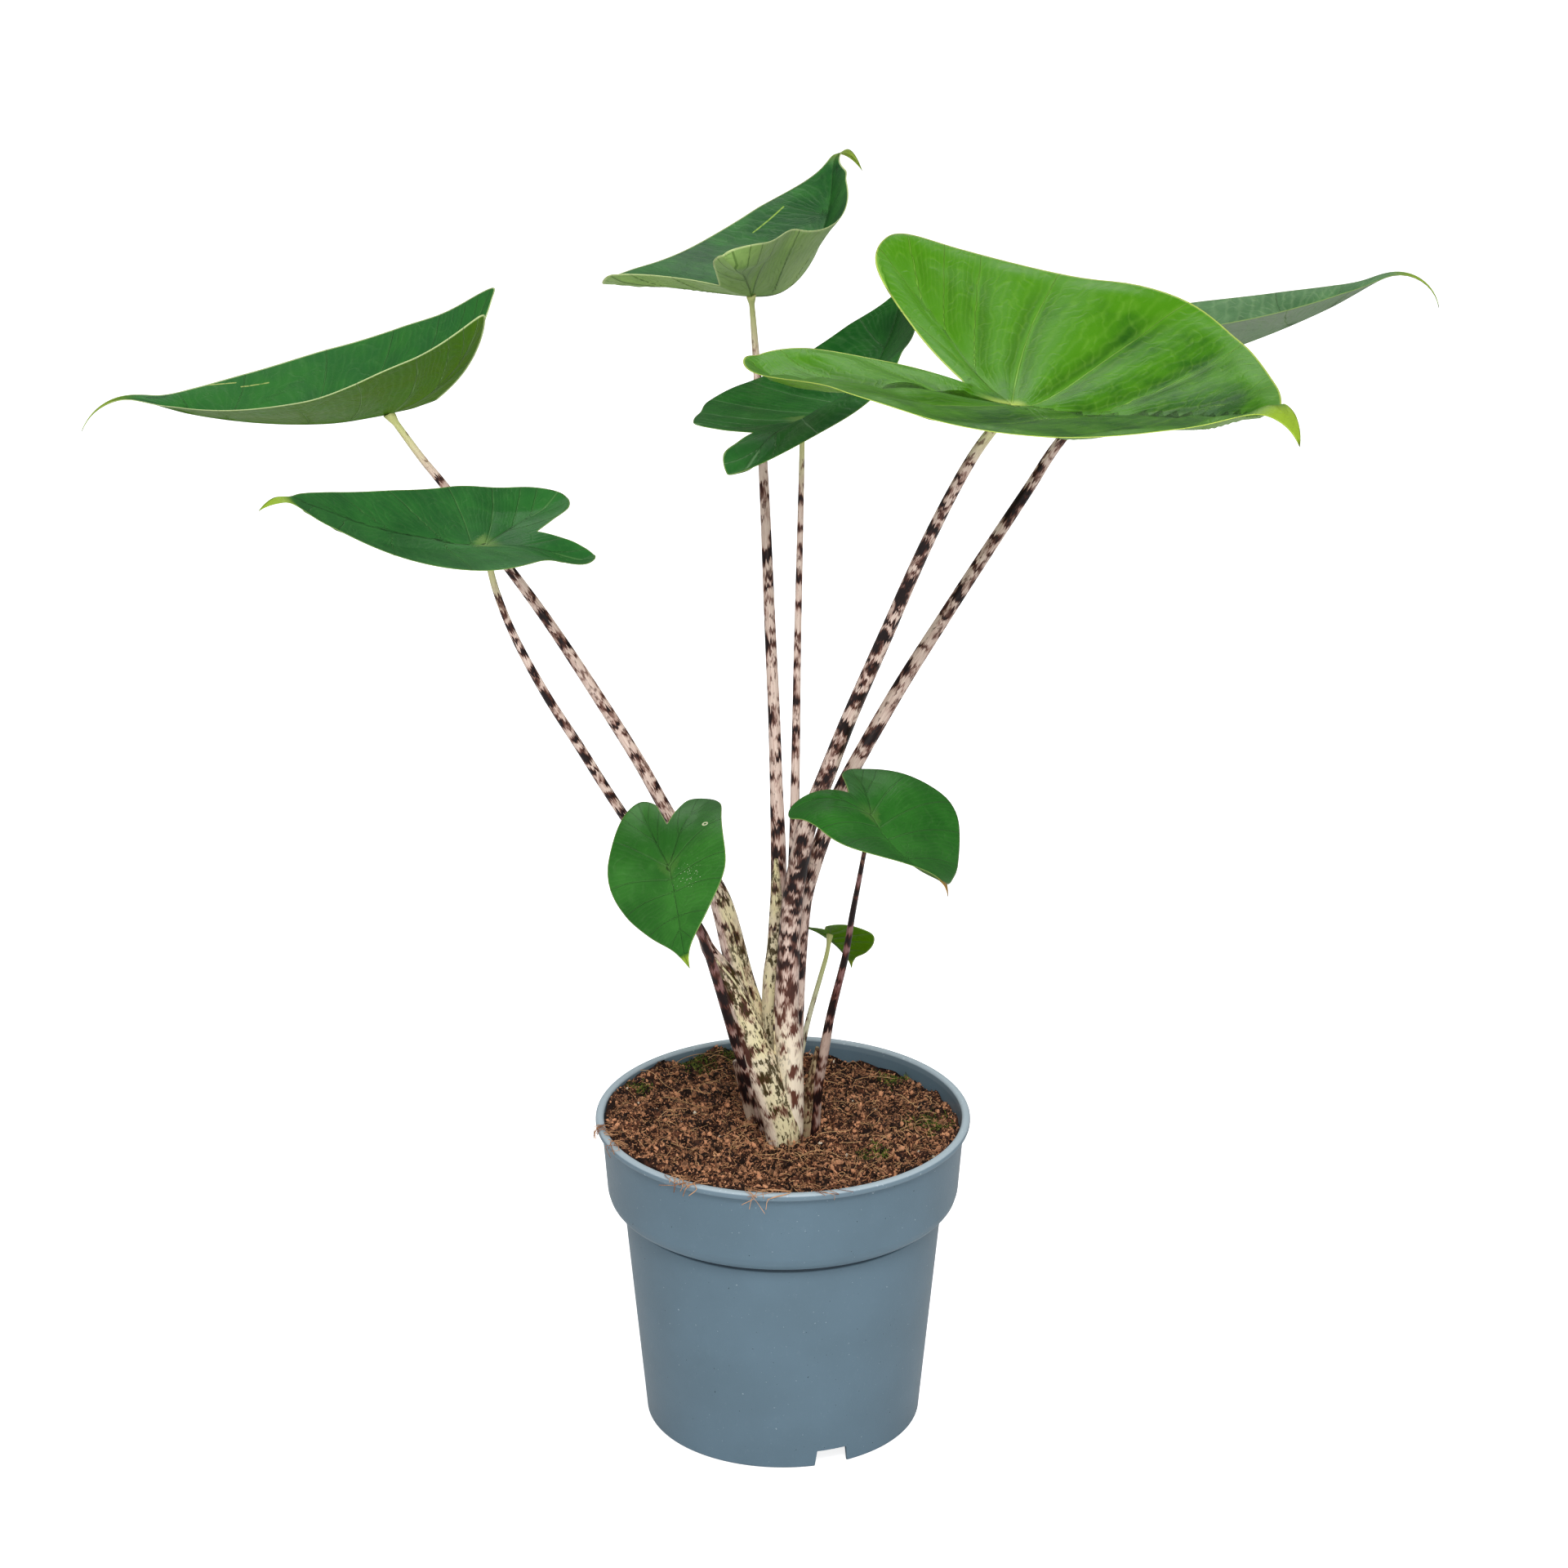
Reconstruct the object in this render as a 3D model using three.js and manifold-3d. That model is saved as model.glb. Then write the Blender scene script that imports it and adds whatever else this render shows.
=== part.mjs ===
// Potted zebra-stalked alocasia in a 17 cm nursery pot.
// Millimetres and degrees. +Z is up and +Y points away from the viewer.
// The origin is the centre of the pot's foot, on the ground.

import * as THREE from 'three';
import { mergeVertices } from 'three/addons/utils/BufferGeometryUtils.js';
import Module from 'manifold-3d';

const wasm = await Module();
wasm.setup();

// Clearance kept between pieces that touch
const GAP = 0.3;

// Pot: a grower's pot of 170 mm across the rim
const POT_SIDES = 40;
const RIM_TOP = 148.3;
const RIM_RADIUS = 85;
const BEAD_HEIGHT = 3.9;
const BAND_TOP_RADIUS = 82.25;
const BAND_FOOT_RADIUS = 80;
const BAND_FOOT = 115;
const CREASE = 106.7;
const CREASE_RADIUS = 73.3;
const BODY_TOP_RADIUS = 72.7;
const FOOT_RADIUS = 62.9;
const WALL = 1.4;
const FLOOR_UNDERSIDE = 9;
const FLOOR = FLOOR_UNDERSIDE + 1.6;
const CENTRE_FOOT_RADIUS = 18;
const NOTCH = { azimuths: [-69.5, 50.5, 170.5], width: 16.5, topWidth: 14, height: 8 };
const DRAIN = { count: 8, radius: 4.5, pitchRadius: 41 };

// Compost: level at the stems, rising to the rim at the front left
const SOIL_LEVEL = 140;
const SOIL_EDGE_LEVEL = 143.4;
const SOIL_EDGE_TILT = 3.2;
const SOIL_HIGH_SIDE = 215;
const SOIL_RINGS = [1, 0.92, 0.82, 0.71, 0.6, 0.49, 0.37, 0.24, 0.12];
const SOIL_LUMPS = [
  { x: -31, y: 70, height: 7, reach: 7 },
  { x: -54, y: 46, height: 3, reach: 10 },
  { x: 20, y: -58, height: 2.5, reach: 12 },
  { x: 36, y: 30, height: 2, reach: 13 },
  { x: -40, y: -30, height: 2, reach: 14 },
];

// Corm and roots, hidden in the compost. The stalks' feet stand on the corm's flat top.
const FOOT = 122;
const CORM = { x: 0, y: -4, topRadius: 17.6, height: 34 };
const ROOT = { count: 9, startRadius: 1.5, endRadius: 0.9, spread: 47, depth: 82 };

// Leaf blades
const BLADE_THICKNESS = 0.9;
const SPINE_STEPS = 96;

// Where a blade has points: rings from the stalk to the edge, and steps round each half's
// margin from the drip tip (0) past the widest place (6) and the lobe's end (9) to the sinus
const MARGIN = [0, 0.6, 1.2, 2, 2.7, 3.4, 4.2, 5.1, 6, 7, 7.7, 8.3, 9, 9.6, 10.2, 11, 12];
const SMALL_MARGIN = [0, 1, 2, 3, 4.3, 5.6, 7, 8, 8.8, 9.6, 10.6, 12];
const DETAIL = {
  large: { rings: [0.22, 0.44, 0.66, 0.85, 1], margin: MARGIN },
  medium: { rings: [0.3, 0.6, 0.84, 1], margin: MARGIN },
  small: { rings: [0.4, 0.75, 1], margin: SMALL_MARGIN },
};

// Each leaf: where its stalk meets it, which way its tip points, and the shape of its halves.
// Pairs are the halves on the left and on the right, seen from the stalk towards the tip.
// Folds are the rise of each half from the midrib. Curls and bends are turns, in radians,
// over one blade length: a curl rolls a half up, a bend turns the spine down.
const LEAVES = {
  upper_left: {
    stalk: [-171.5, 30, 469.5], heading: 175, pitch: -11, roll: 5, twist: -4,
    length: 113.5, dripTip: 30.5, sinus: 22.5, belly: -0.32, lobeBulge: 0.23,
    halfWidth: [53.5, 52.5], lobeLength: [74.5, 69], lobeSpread: [36.5, 42],
    frontFold: [17, 24], backFold: [31, 40], frontCurl: [0.34, 0.47], backCurl: [-0.14, -0.27],
    frontBend: -0.45, backBend: -1.06, tipBend: 5.1, lobeLift: [0, 0],
    detail: 'medium', green: 0x1f5c2a,
  },
  lower_left: {
    stalk: [-125, -55, 437], heading: 220.5, pitch: 4.5, roll: -16, twist: -7,
    length: 117, dripTip: 14.5, sinus: 27, belly: 0.37, lobeBulge: 0.5,
    halfWidth: [35, 33.5], lobeLength: [42.5, 54], lobeSpread: [19.5, 19.5],
    frontFold: [13.5, 11.5], backFold: [24.5, 11.5], frontCurl: [0.35, 0.71], backCurl: [-0.52, 0.92],
    frontBend: -0.68, backBend: -0.9, tipBend: 9.4, lobeLift: [-0.38, -0.2],
    detail: 'medium', green: 0x1c5427,
  },
  top: {
    stalk: [-14, 70, 511.5], heading: 63.5, pitch: -14.5, roll: -21.5, twist: -2.5,
    length: 144, dripTip: 37, sinus: 30, belly: 0.5, lobeBulge: 0.46,
    halfWidth: [70.5, 37], lobeLength: [63.5, 63.5], lobeSpread: [38.5, 27.5],
    frontFold: [12.5, 33], backFold: [27.5, 35.5], frontCurl: [0.75, -0.14], backCurl: [-0.29, 0.48],
    frontBend: -1.01, backBend: -1.24, tipBend: 8.1, lobeLift: [-0.28, -0.38],
    detail: 'medium', green: 0x1f5a2c,
  },
  large_right: {
    stalk: [93.5, -90, 508.5], heading: -49, pitch: -5, roll: -3.5, twist: 6.5,
    length: 145.5, dripTip: 21.5, sinus: 29, belly: -0.02, lobeBulge: 0.33,
    halfWidth: [104.5, 97], lobeLength: [130.5, 108], lobeSpread: [42, 45],
    frontFold: [-9, 4], backFold: [7.5, 20], frontCurl: [1.12, 0.46], backCurl: [0.73, -0.5],
    frontBend: -0.61, backBend: -0.27, tipBend: 10.3, lobeLift: [0.08, -0.31],
    detail: 'large', green: 0x3fa01c,
  },
  far_right: {
    stalk: [149.5, 70, 475.5], heading: 1, pitch: 11.5, roll: -7.5, twist: 4.5,
    length: 126, dripTip: 29.5, sinus: 22, belly: -0.34, lobeBulge: 0.3,
    halfWidth: [48.5, 49], lobeLength: [65, 65], lobeSpread: [35, 35],
    frontFold: [18.5, 21.5], backFold: [35.5, 35.5], frontCurl: [0.44, 0.41], backCurl: [0.29, 0.29],
    frontBend: -0.33, backBend: 0, tipBend: 7.3, lobeLift: [0, 0],
    detail: 'medium', green: 0x2a6a35,
  },
  centre: {
    stalk: [8.5, 10, 472], heading: 49, pitch: -2, roll: -21.5, twist: -10,
    length: 100, dripTip: 9.5, sinus: 32, belly: 0.34, lobeBulge: 0.3,
    halfWidth: [54, 54], lobeLength: [46, 67.5], lobeSpread: [19.5, 17],
    frontFold: [21.5, 18], backFold: [3, 11], frontCurl: [0.17, -0.13], backCurl: [0.14, -0.7],
    frontBend: -0.98, backBend: -0.15, tipBend: 2.3, lobeLift: [0.13, -0.24],
    detail: 'medium', green: 0x1a4f25,
  },
  small_left: {
    stalk: [-49, -62, 293.5], heading: -81, pitch: -36, roll: 30.5, twist: 14.5,
    length: 43.5, dripTip: 5, sinus: 25, belly: -0.22, lobeBulge: 0.36,
    halfWidth: [26, 29], lobeLength: [52, 45.5], lobeSpread: [14, 13],
    frontFold: [0.5, -2.5], backFold: [-3, 3], frontCurl: [-0.5, -0.3], backCurl: [-0.07, 0.06],
    frontBend: 0.21, backBend: 0.64, tipBend: 5.8, lobeLift: [-0.03, -0.01],
    detail: 'small', green: 0x2c7a31,
  },
  small_right: {
    stalk: [38, -62, 317.5], heading: -50.5, pitch: -34.5, roll: -15.5, twist: -25.5,
    length: 46.5, dripTip: 7.5, sinus: 16, belly: 0.3, lobeBulge: 0.48,
    halfWidth: [51, 30.5], lobeLength: [35, 33], lobeSpread: [21, 21.5],
    frontFold: [5, 0.5], backFold: [11, 14.5], frontCurl: [0.05, -0.58], backCurl: [-0.28, -1.44],
    frontBend: -0.47, backBend: 1.12, tipBend: 6.6, lobeLift: [-0.18, -0.07],
    detail: 'small', green: 0x2a6f2e,
  },
  tiny: {
    stalk: [21.5, 35, 221.5], heading: 56, pitch: -43, roll: -5, twist: 17.5,
    length: 24, dripTip: 5.5, sinus: 6, belly: -0.03, lobeBulge: 0.3,
    halfWidth: [22.5, 21], lobeLength: [13.5, 18], lobeSpread: [7.5, 9],
    frontFold: [9, 10], backFold: [3.5, 6.5], frontCurl: [0, 0], backCurl: [0, 0],
    frontBend: 0.19, backBend: 0.84, tipBend: 2.2, lobeLift: [0, 0],
    detail: 'small', green: 0x3d7a1f,
  },
};

// Stalks and sheaths, from the foot up: [x, y, z, radius] at points along the centreline.
// They are placed in this order, and each one is hollowed where it wraps one placed before.
const STALKS = {
  large_right: [
    [2.5, -9.5, FOOT, 5.8], [2.5, -11, 140, 6.65], [3, -11, 162.5, 6.65], [2.5, -11.5, 182.5, 6.4],
    [1.5, -12, 203, 5.65], [2.5, -12.5, 230, 5.1], [4, -13, 255, 4.7], [7.5, -14.5, 279, 4.5],
    [11.5, -17.5, 298.5, 4.3], [17.5, -22, 316.5, 4], [28.5, -33, 351, 3.45],
    [43.5, -47, 393.5, 3.2], [61, -65, 443, 2.75], [78, -81, 483.5, 2.35],
  ],
  top: [
    [-2, 2.5, FOOT, 3.8], [-2.5, 3, 143.5, 4.1], [-3, 3, 172, 4.05], [-3.5, 2, 213, 4.05],
    [-2, 1.5, 252.5, 3.65], [-2, 3, 275.5, 3.45], [-3, 10, 306.5, 2.9], [-4, 20, 336.5, 2.7],
    [-5.5, 32.5, 366, 2.55], [-8.5, 60, 430.5, 2.15], [-11.5, 75, 476, 1.7], [-13, 75, 497.5, 1.35],
  ],
  far_right: [
    [5.5, 0, FOOT, 3.4], [5.5, -1, 145.5, 3.7], [5.5, -1, 178, 3.7], [6.5, -2, 214.5, 3.65],
    [9, -4, 251, 3.65], [13.5, -3.5, 270.5, 3.6], [18.5, -0.5, 285, 3.6], [26, 5.5, 303, 3.55],
    [35.5, 12, 319.5, 3.45], [52.5, 24, 346, 3.3], [71, 36, 372.5, 3.05], [90, 46, 400, 2.85],
    [109, 57, 426.5, 2.55], [123.5, 63, 447.5, 2.25],
  ],
  centre: [
    [1, -3, FOOT, 2.2], [2, -3, 146.5, 2.2], [2.5, -3, 179, 2.2], [3.5, -4, 215.5, 2.2],
    [4, -5, 255.5, 2.2], [5, -4, 287, 2.15], [5.5, -2, 311.5, 2], [6, 1, 343.5, 1.8],
    [6.5, 4, 375.5, 1.6], [8, 8.5, 445, 1.25],
  ],
  upper_left: [
    [-5, 5, FOOT, 5.2], [-5.5, 5, 139, 5.6], [-7.5, 4, 171.5, 5.55], [-12.5, 4, 192, 5.9],
    [-19, 6, 212.5, 5.9], [-26, 10, 241.5, 5.3], [-31.5, 12, 256.5, 4.2], [-41, 14, 271.5, 3.45],
    [-51.5, 16, 288.5, 3], [-64.5, 18.5, 312.5, 2.9], [-82.5, 22, 342, 2.75],
    [-101.5, 25, 372, 2.5], [-119.5, 27, 398, 2.25], [-147.5, 29, 436, 1.9], [-158, 30, 449.5, 1.7],
  ],
  small_left: [
    [-8, -2, FOOT, 2.2], [-8, -4, 138.5, 2.2], [-10, -8, 149, 2.2], [-14, -14, 167.5, 2.2],
    [-20.5, -20, 189.5, 2.2], [-25, -25, 209, 2.2], [-30.5, -31, 232.5, 2.15], [-35, -36, 249, 1.8],
    [-41, -44, 268, 1.4], [-47, -54, 285.5, 1.05],
  ],
  lower_left: [
    [0.5, -11.5, FOOT, 7.2], [0, -13, 145, 8.1], [-5, -13, 163, 8.1], [-9.5, -13.5, 178, 7.9],
    [-13, -14, 186.5, 7.3], [-17, -15, 200.5, 6.4], [-25, -17, 222.5, 4.7], [-33, -19, 237, 3.1],
    [-37.5, -19, 247.5, 2.45], [-57, -19, 280, 2.3], [-75.5, -23, 312, 2.2], [-88, -29, 336.5, 2.15],
    [-102, -38, 364.5, 1.95], [-114, -45.5, 392.5, 1.7], [-121.5, -51, 416.5, 1.5],
  ],
  small_right: [
    [12, -4, FOOT, 2.6], [14, -4, 140.5, 2.8], [15.5, -6, 163, 2.6], [18.5, -10, 183, 2.3],
    [21.5, -14, 203.5, 1.9], [27.5, -24, 235, 1.55], [30.5, -33, 259.5, 1.35], [33, -42, 278.5, 1.15],
    [35, -52, 295.5, 1],
  ],
  tiny: [
    [5.5, 6, FOOT, 1.5], [6, 6, 146, 1.5], [7, 7, 166, 1.4], [9, 9.5, 177.5, 1.3],
    [12, 14, 190, 1.2], [17, 23, 205, 1.1], [20, 30, 213.5, 1],
  ],
  pointed_sheath: [
    [-4.5, 0, FOOT, 4.8], [-4.5, 0, 143, 5.2], [-4.5, 0, 177.5, 5.15], [-4.5, -1, 211.5, 4.75],
    [-3.5, -1, 230, 3.65], [-3, -1.5, 250, 2.9], [-3, -1.5, 263.5, 2], [-3, -1.5, 273, 0.8],
  ],
  dry_sheath: [
    [11, -2.5, FOOT, 3.6], [11.5, -2, 138, 4.3], [12, -4, 156, 3.7], [14, -6.5, 171.5, 2.2],
    [15.5, -8.5, 184.5, 0.8],
  ],
  old_petiole_stub: [
    [-8, 7, FOOT, 4.2], [-12.5, 11.5, 140, 4.5], [-15.5, 13, 153, 4.45], [-19, 15, 167.5, 4.1],
  ],
};
const STALK_SIDES = 8;
const STALK_COLOURS = { petiole: 0xc9ab9d, sheath: 0xb9b285, dry: 0xb09a78 };

const radians = THREE.MathUtils.degToRad;
const smooth = (x) => THREE.MathUtils.smoothstep(x, 0, 1);

// Solids and meshes

function solidOf(geometry) {
  const bare = geometry.clone();
  bare.deleteAttribute('normal');
  bare.deleteAttribute('uv');
  const merged = mergeVertices(bare, 1e-4);
  return new wasm.Manifold(new wasm.Mesh({
    numProp: 3,
    vertProperties: new Float32Array(merged.attributes.position.array),
    triVerts: new Uint32Array(merged.index.array),
  }));
}

function geometryOf(solid) {
  const mesh = solid.getMesh();
  const geometry = new THREE.BufferGeometry();
  geometry.setAttribute('position', new THREE.BufferAttribute(mesh.vertProperties, 3));
  geometry.setIndex(new THREE.BufferAttribute(mesh.triVerts, 1));
  geometry.computeVertexNormals();
  return geometry;
}

function closedGeometry(points, triangles) {
  const geometry = new THREE.BufferGeometry();
  geometry.setFromPoints(points);
  geometry.setIndex(triangles.flat());
  return geometry;
}

function largestPiece(solid) {
  const pieces = solid.decompose();
  pieces.sort((a, b) => b.volume() - a.volume());
  return pieces[0];
}

function addMesh(group, name, solid, color, roughness) {
  const material = new THREE.MeshStandardMaterial({ color, roughness, metalness: 0 });
  const mesh = new THREE.Mesh(geometryOf(solid), material);
  mesh.name = name;
  group.add(mesh);
}

// A tube of changing radius along [x, y, z, radius] points, closed at both ends.
// A level foot is cut square to the vertical, so it stands flat.
function tube(route, { sides = STALK_SIDES, extra = 0, levelFoot = true } = {}) {
  const curve = new THREE.CatmullRomCurve3(route.map(([x, y, z]) => new THREE.Vector3(x, y, z)));
  const steps = route.length - 1;
  const points = [];
  const triangles = [];
  const side = new THREE.Vector3(1, 0, 0);
  for (let i = 0; i <= steps; i += 1) {
    const t = i / steps;
    const radius = route[i][3] + extra;
    const centre = curve.getPoint(t);
    const level = levelFoot && i === 0;
    const tangent = level ? new THREE.Vector3(0, 0, 1) : curve.getTangent(t);
    side.addScaledVector(tangent, -side.dot(tangent)).normalize();
    const other = new THREE.Vector3().crossVectors(tangent, side);
    for (let j = 0; j < sides; j += 1) {
      const angle = (2 * Math.PI * j) / sides;
      points.push(centre.clone()
        .addScaledVector(side, radius * Math.cos(angle))
        .addScaledVector(other, radius * Math.sin(angle)));
    }
  }
  for (let i = 0; i < steps; i += 1) {
    for (let j = 0; j < sides; j += 1) {
      const a = i * sides + j;
      const b = i * sides + ((j + 1) % sides);
      triangles.push([a, b, b + sides], [a, b + sides, a + sides]);
    }
  }
  const top = steps * sides;
  for (let j = 1; j < sides - 1; j += 1) {
    triangles.push([0, j + 1, j], [top, top + j, top + j + 1]);
  }
  return solidOf(closedGeometry(points, triangles));
}

// Leaf blades

// One half's margin on the flat blade, from the drip tip round the lobe to the sinus.
// The first coordinate runs along the midrib from the stalk, the second away from it.
function flatMargin(leaf, half) {
  const { length, dripTip, sinus, belly, lobeBulge } = leaf;
  const width = leaf.halfWidth[half];
  const lobe = leaf.lobeLength[half];
  const spread = leaf.lobeSpread[half];
  const bulge = lobeBulge * lobe;
  const corners = [
    [length + dripTip, 0],
    [length + 0.45 * dripTip, 0.012 * length],
    [0.98 * length, 0.045 * width + 0.01 * length],
    [0.86 * length, (0.27 + 0.25 * belly) * width],
    [0.62 * length, (0.62 + 0.25 * belly) * width],
    [0.3 * length, (0.92 + 0.12 * belly) * width],
    [0, width],
    [-0.42 * lobe, 0.49 * width + 0.5 * spread + 0.25 * bulge],
    [-0.8 * lobe, spread + 0.42 * bulge],
    [-lobe, spread + 0.08 * bulge],
    [-0.93 * lobe, spread - 0.34 * bulge],
    [-0.465 * lobe - 0.5 * sinus, 0.46 * (spread - 0.34 * bulge)],
    [-sinus, 0],
  ];
  const curve = new THREE.CatmullRomCurve3(
    corners.map(([u, v]) => new THREE.Vector3(u, v, 0)), false, 'catmullrom', 0.5);
  return DETAIL[leaf.detail].margin.map((step) => {
    const { x, y } = curve.getPoint(step / (corners.length - 1));
    return [x, Math.max(y, 0)];
  });
}

// The midrib seen from the side: forward, height and slope at even steps from lobes to tip
function spineOf(leaf) {
  const start = -1.3 * Math.max(...leaf.lobeLength);
  const end = leaf.length + leaf.dripTip + 1;
  const step = (end - start) / SPINE_STEPS;
  const slopeChange = (u) => {
    const bend = u >= 0 ? leaf.frontBend : leaf.backBend;
    const atTip = leaf.tipBend * smooth((u / leaf.length - 0.9) / 0.12);
    return -(bend + atTip) / leaf.length;
  };
  const points = [{ forward: 0, height: 0, slope: 0 }];
  for (let i = 0; i < SPINE_STEPS; i += 1) {
    const last = points[i];
    const slope = last.slope + step * slopeChange(start + (i + 0.5) * step);
    const middle = 0.5 * (slope + last.slope);
    points.push({
      forward: last.forward + step * Math.cos(middle),
      height: last.height + step * Math.sin(middle),
      slope,
    });
  }
  const at = (u) => {
    const along = THREE.MathUtils.clamp((u - start) / step, 0, SPINE_STEPS - 1e-6);
    const i = Math.floor(along);
    const mix = (key) => THREE.MathUtils.lerp(points[i][key], points[i + 1][key], along - i);
    return { forward: mix('forward'), height: mix('height'), slope: mix('slope') };
  };
  const origin = at(0);
  return (u) => {
    const { forward, height, slope } = at(u);
    const dx = forward - origin.forward;
    const dz = height - origin.height;
    const c = Math.cos(origin.slope);
    const s = Math.sin(origin.slope);
    return { forward: c * dx + s * dz, height: c * dz - s * dx, slope: slope - origin.slope };
  };
}

// A point of the flat blade, folded, curled and bent, in the leaf's own frame
function shapedPoint(leaf, spine, half, u, v) {
  const { length } = leaf;
  const back = smooth(0.5 - (2 * u) / length);
  const fade = 1 - smooth((u / length - 0.8) / 0.2);
  const blend = (pair, rear) => pair[half] * (1 - back) + rear[half] * back;
  const fold = radians(blend(leaf.frontFold, leaf.backFold)) * (0.35 + 0.65 * fade);
  let curl = (blend(leaf.frontCurl, leaf.backCurl) * fade) / length;
  if (Math.abs(curl) < 1e-6) curl = 1e-6;
  const out = (Math.sin(fold + curl * v) - Math.sin(fold)) / curl;
  const lobe = leaf.lobeLength[half];
  const lift = leaf.lobeLift[half] * lobe * smooth(-u / lobe)
    * THREE.MathUtils.clamp(v / leaf.lobeSpread[half], 0, 1);
  const rise = (Math.cos(fold) - Math.cos(fold + curl * v)) / curl + lift;
  const across = half === 0 ? out : -out;
  const twist = (radians(leaf.twist) * u) / length;
  const y = across * Math.cos(twist) - rise * Math.sin(twist);
  const h = across * Math.sin(twist) + rise * Math.cos(twist);
  const { forward, height, slope } = spine(u);
  return new THREE.Vector3(forward - Math.sin(slope) * h, y, height + Math.cos(slope) * h);
}

function leafPlacement(leaf) {
  const heading = radians(leaf.heading);
  const pitch = radians(leaf.pitch);
  const roll = radians(leaf.roll);
  const forward = new THREE.Vector3(
    Math.cos(heading) * Math.cos(pitch), Math.sin(heading) * Math.cos(pitch), Math.sin(pitch));
  const level = new THREE.Vector3(-Math.sin(heading), Math.cos(heading), 0);
  const upright = new THREE.Vector3().crossVectors(forward, level);
  const across = level.clone().multiplyScalar(Math.cos(roll)).addScaledVector(upright, Math.sin(roll));
  const normal = new THREE.Vector3().crossVectors(forward, across);
  return new THREE.Matrix4().makeBasis(forward, across, normal).setPosition(...leaf.stalk);
}

// A blade as a fan of spokes round its stalk, offset to both faces with the same triangles
function blade(leaf, thickness) {
  const spine = spineOf(leaf);
  const placement = leafPlacement(leaf);
  const left = flatMargin(leaf, 0).map(([u, v]) => [0, u, v]);
  const right = flatMargin(leaf, 1).map(([u, v]) => [1, u, v]).reverse();
  const rim = [...left, ...right.slice(1, -1)];
  const count = rim.length;
  const { rings } = DETAIL[leaf.detail];
  const middle = [new THREE.Vector3().applyMatrix4(placement)];
  for (const reach of rings) {
    for (const [half, u, v] of rim) {
      middle.push(shapedPoint(leaf, spine, half, reach * u, reach * v).applyMatrix4(placement));
    }
  }
  const face = [];
  for (let j = 0; j < count; j += 1) {
    const k = (j + 1) % count;
    face.push([0, 1 + j, 1 + k]);
    for (let ring = 1; ring < rings.length; ring += 1) {
      const inner = 1 + (ring - 1) * count;
      const outer = inner + count;
      face.push([inner + j, outer + j, outer + k], [inner + j, outer + k, inner + k]);
    }
  }
  const sheet = closedGeometry(middle, face);
  sheet.computeVertexNormals();
  const normals = sheet.attributes.normal;
  const shifted = (sign) => middle.map((point, i) => point.clone()
    .addScaledVector(new THREE.Vector3().fromBufferAttribute(normals, i), (sign * thickness) / 2));
  const points = [...shifted(1), ...shifted(-1)];
  const under = middle.length;
  const triangles = face.flatMap(([a, b, c]) => [[a, b, c], [under + a, under + c, under + b]]);
  const edge = 1 + (rings.length - 1) * count;
  for (let j = 0; j < count; j += 1) {
    const a = edge + j;
    const b = edge + ((j + 1) % count);
    triangles.push([a, under + a, under + b], [a, under + b, b]);
  }
  return solidOf(closedGeometry(points, triangles));
}

// Pot

// The pot's inner wall from the centre of its floor up to the rim
const POT_INSIDE = [
  [0, 1.6],
  [CENTRE_FOOT_RADIUS - 2, 1.6],
  [CENTRE_FOOT_RADIUS - 0.9, FLOOR],
  [FOOT_RADIUS - 0.4, FLOOR],
  [BODY_TOP_RADIUS - WALL, CREASE - 1.2],
  [CREASE_RADIUS - WALL, CREASE + 0.9],
  [BAND_FOOT_RADIUS - 4.6, CREASE + 2.5],
  [BAND_FOOT_RADIUS - 2.3, CREASE + 4.9],
  [BAND_FOOT_RADIUS - WALL, BAND_FOOT + 0.5],
  [BAND_TOP_RADIUS - WALL, RIM_TOP - BEAD_HEIGHT],
  [BAND_TOP_RADIUS - WALL + 0.4, RIM_TOP - 0.8],
];

const POT_OUTSIDE = [
  [0, 0],
  [CENTRE_FOOT_RADIUS, 0],
  [CENTRE_FOOT_RADIUS + 0.7, FLOOR_UNDERSIDE],
  [FOOT_RADIUS - 1.4, FLOOR_UNDERSIDE],
  [FOOT_RADIUS - 1.8, 0],
  [FOOT_RADIUS - 0.5, 0],
  [FOOT_RADIUS, 0.8],
  [BODY_TOP_RADIUS, CREASE - 1.2],
  [CREASE_RADIUS, CREASE],
  [BAND_FOOT_RADIUS - 3.4, CREASE + 0.9],
  [BAND_FOOT_RADIUS - 1.2, CREASE + 3.1],
  [BAND_FOOT_RADIUS - 0.1, CREASE + 6.4],
  [BAND_TOP_RADIUS, RIM_TOP - BEAD_HEIGHT],
  [RIM_RADIUS - 0.4, RIM_TOP - BEAD_HEIGHT + 0.4],
  [RIM_RADIUS, RIM_TOP - 2.6],
  [RIM_RADIUS, RIM_TOP - 1],
  [RIM_RADIUS - 0.8, RIM_TOP],
  [BAND_TOP_RADIUS - 0.1, RIM_TOP],
];

function lathe(profile) {
  const outline = profile.map(([r, z]) => new THREE.Vector2(r, z));
  return new THREE.LatheGeometry(outline, POT_SIDES).rotateX(Math.PI / 2);
}

function notchCutter(azimuth) {
  const outline = new THREE.Shape();
  outline.moveTo(-NOTCH.width / 2, -1);
  outline.lineTo(NOTCH.width / 2, -1);
  outline.lineTo(NOTCH.topWidth / 2, NOTCH.height);
  outline.lineTo(-NOTCH.topWidth / 2, NOTCH.height);
  const reach = 10;
  const cutter = new THREE.ExtrudeGeometry(outline, { depth: reach, bevelEnabled: false });
  cutter.rotateX(Math.PI / 2).rotateZ(Math.PI / 2);
  cutter.translate(FOOT_RADIUS - reach / 2, 0, 0).rotateZ(radians(azimuth));
  return solidOf(cutter);
}

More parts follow.
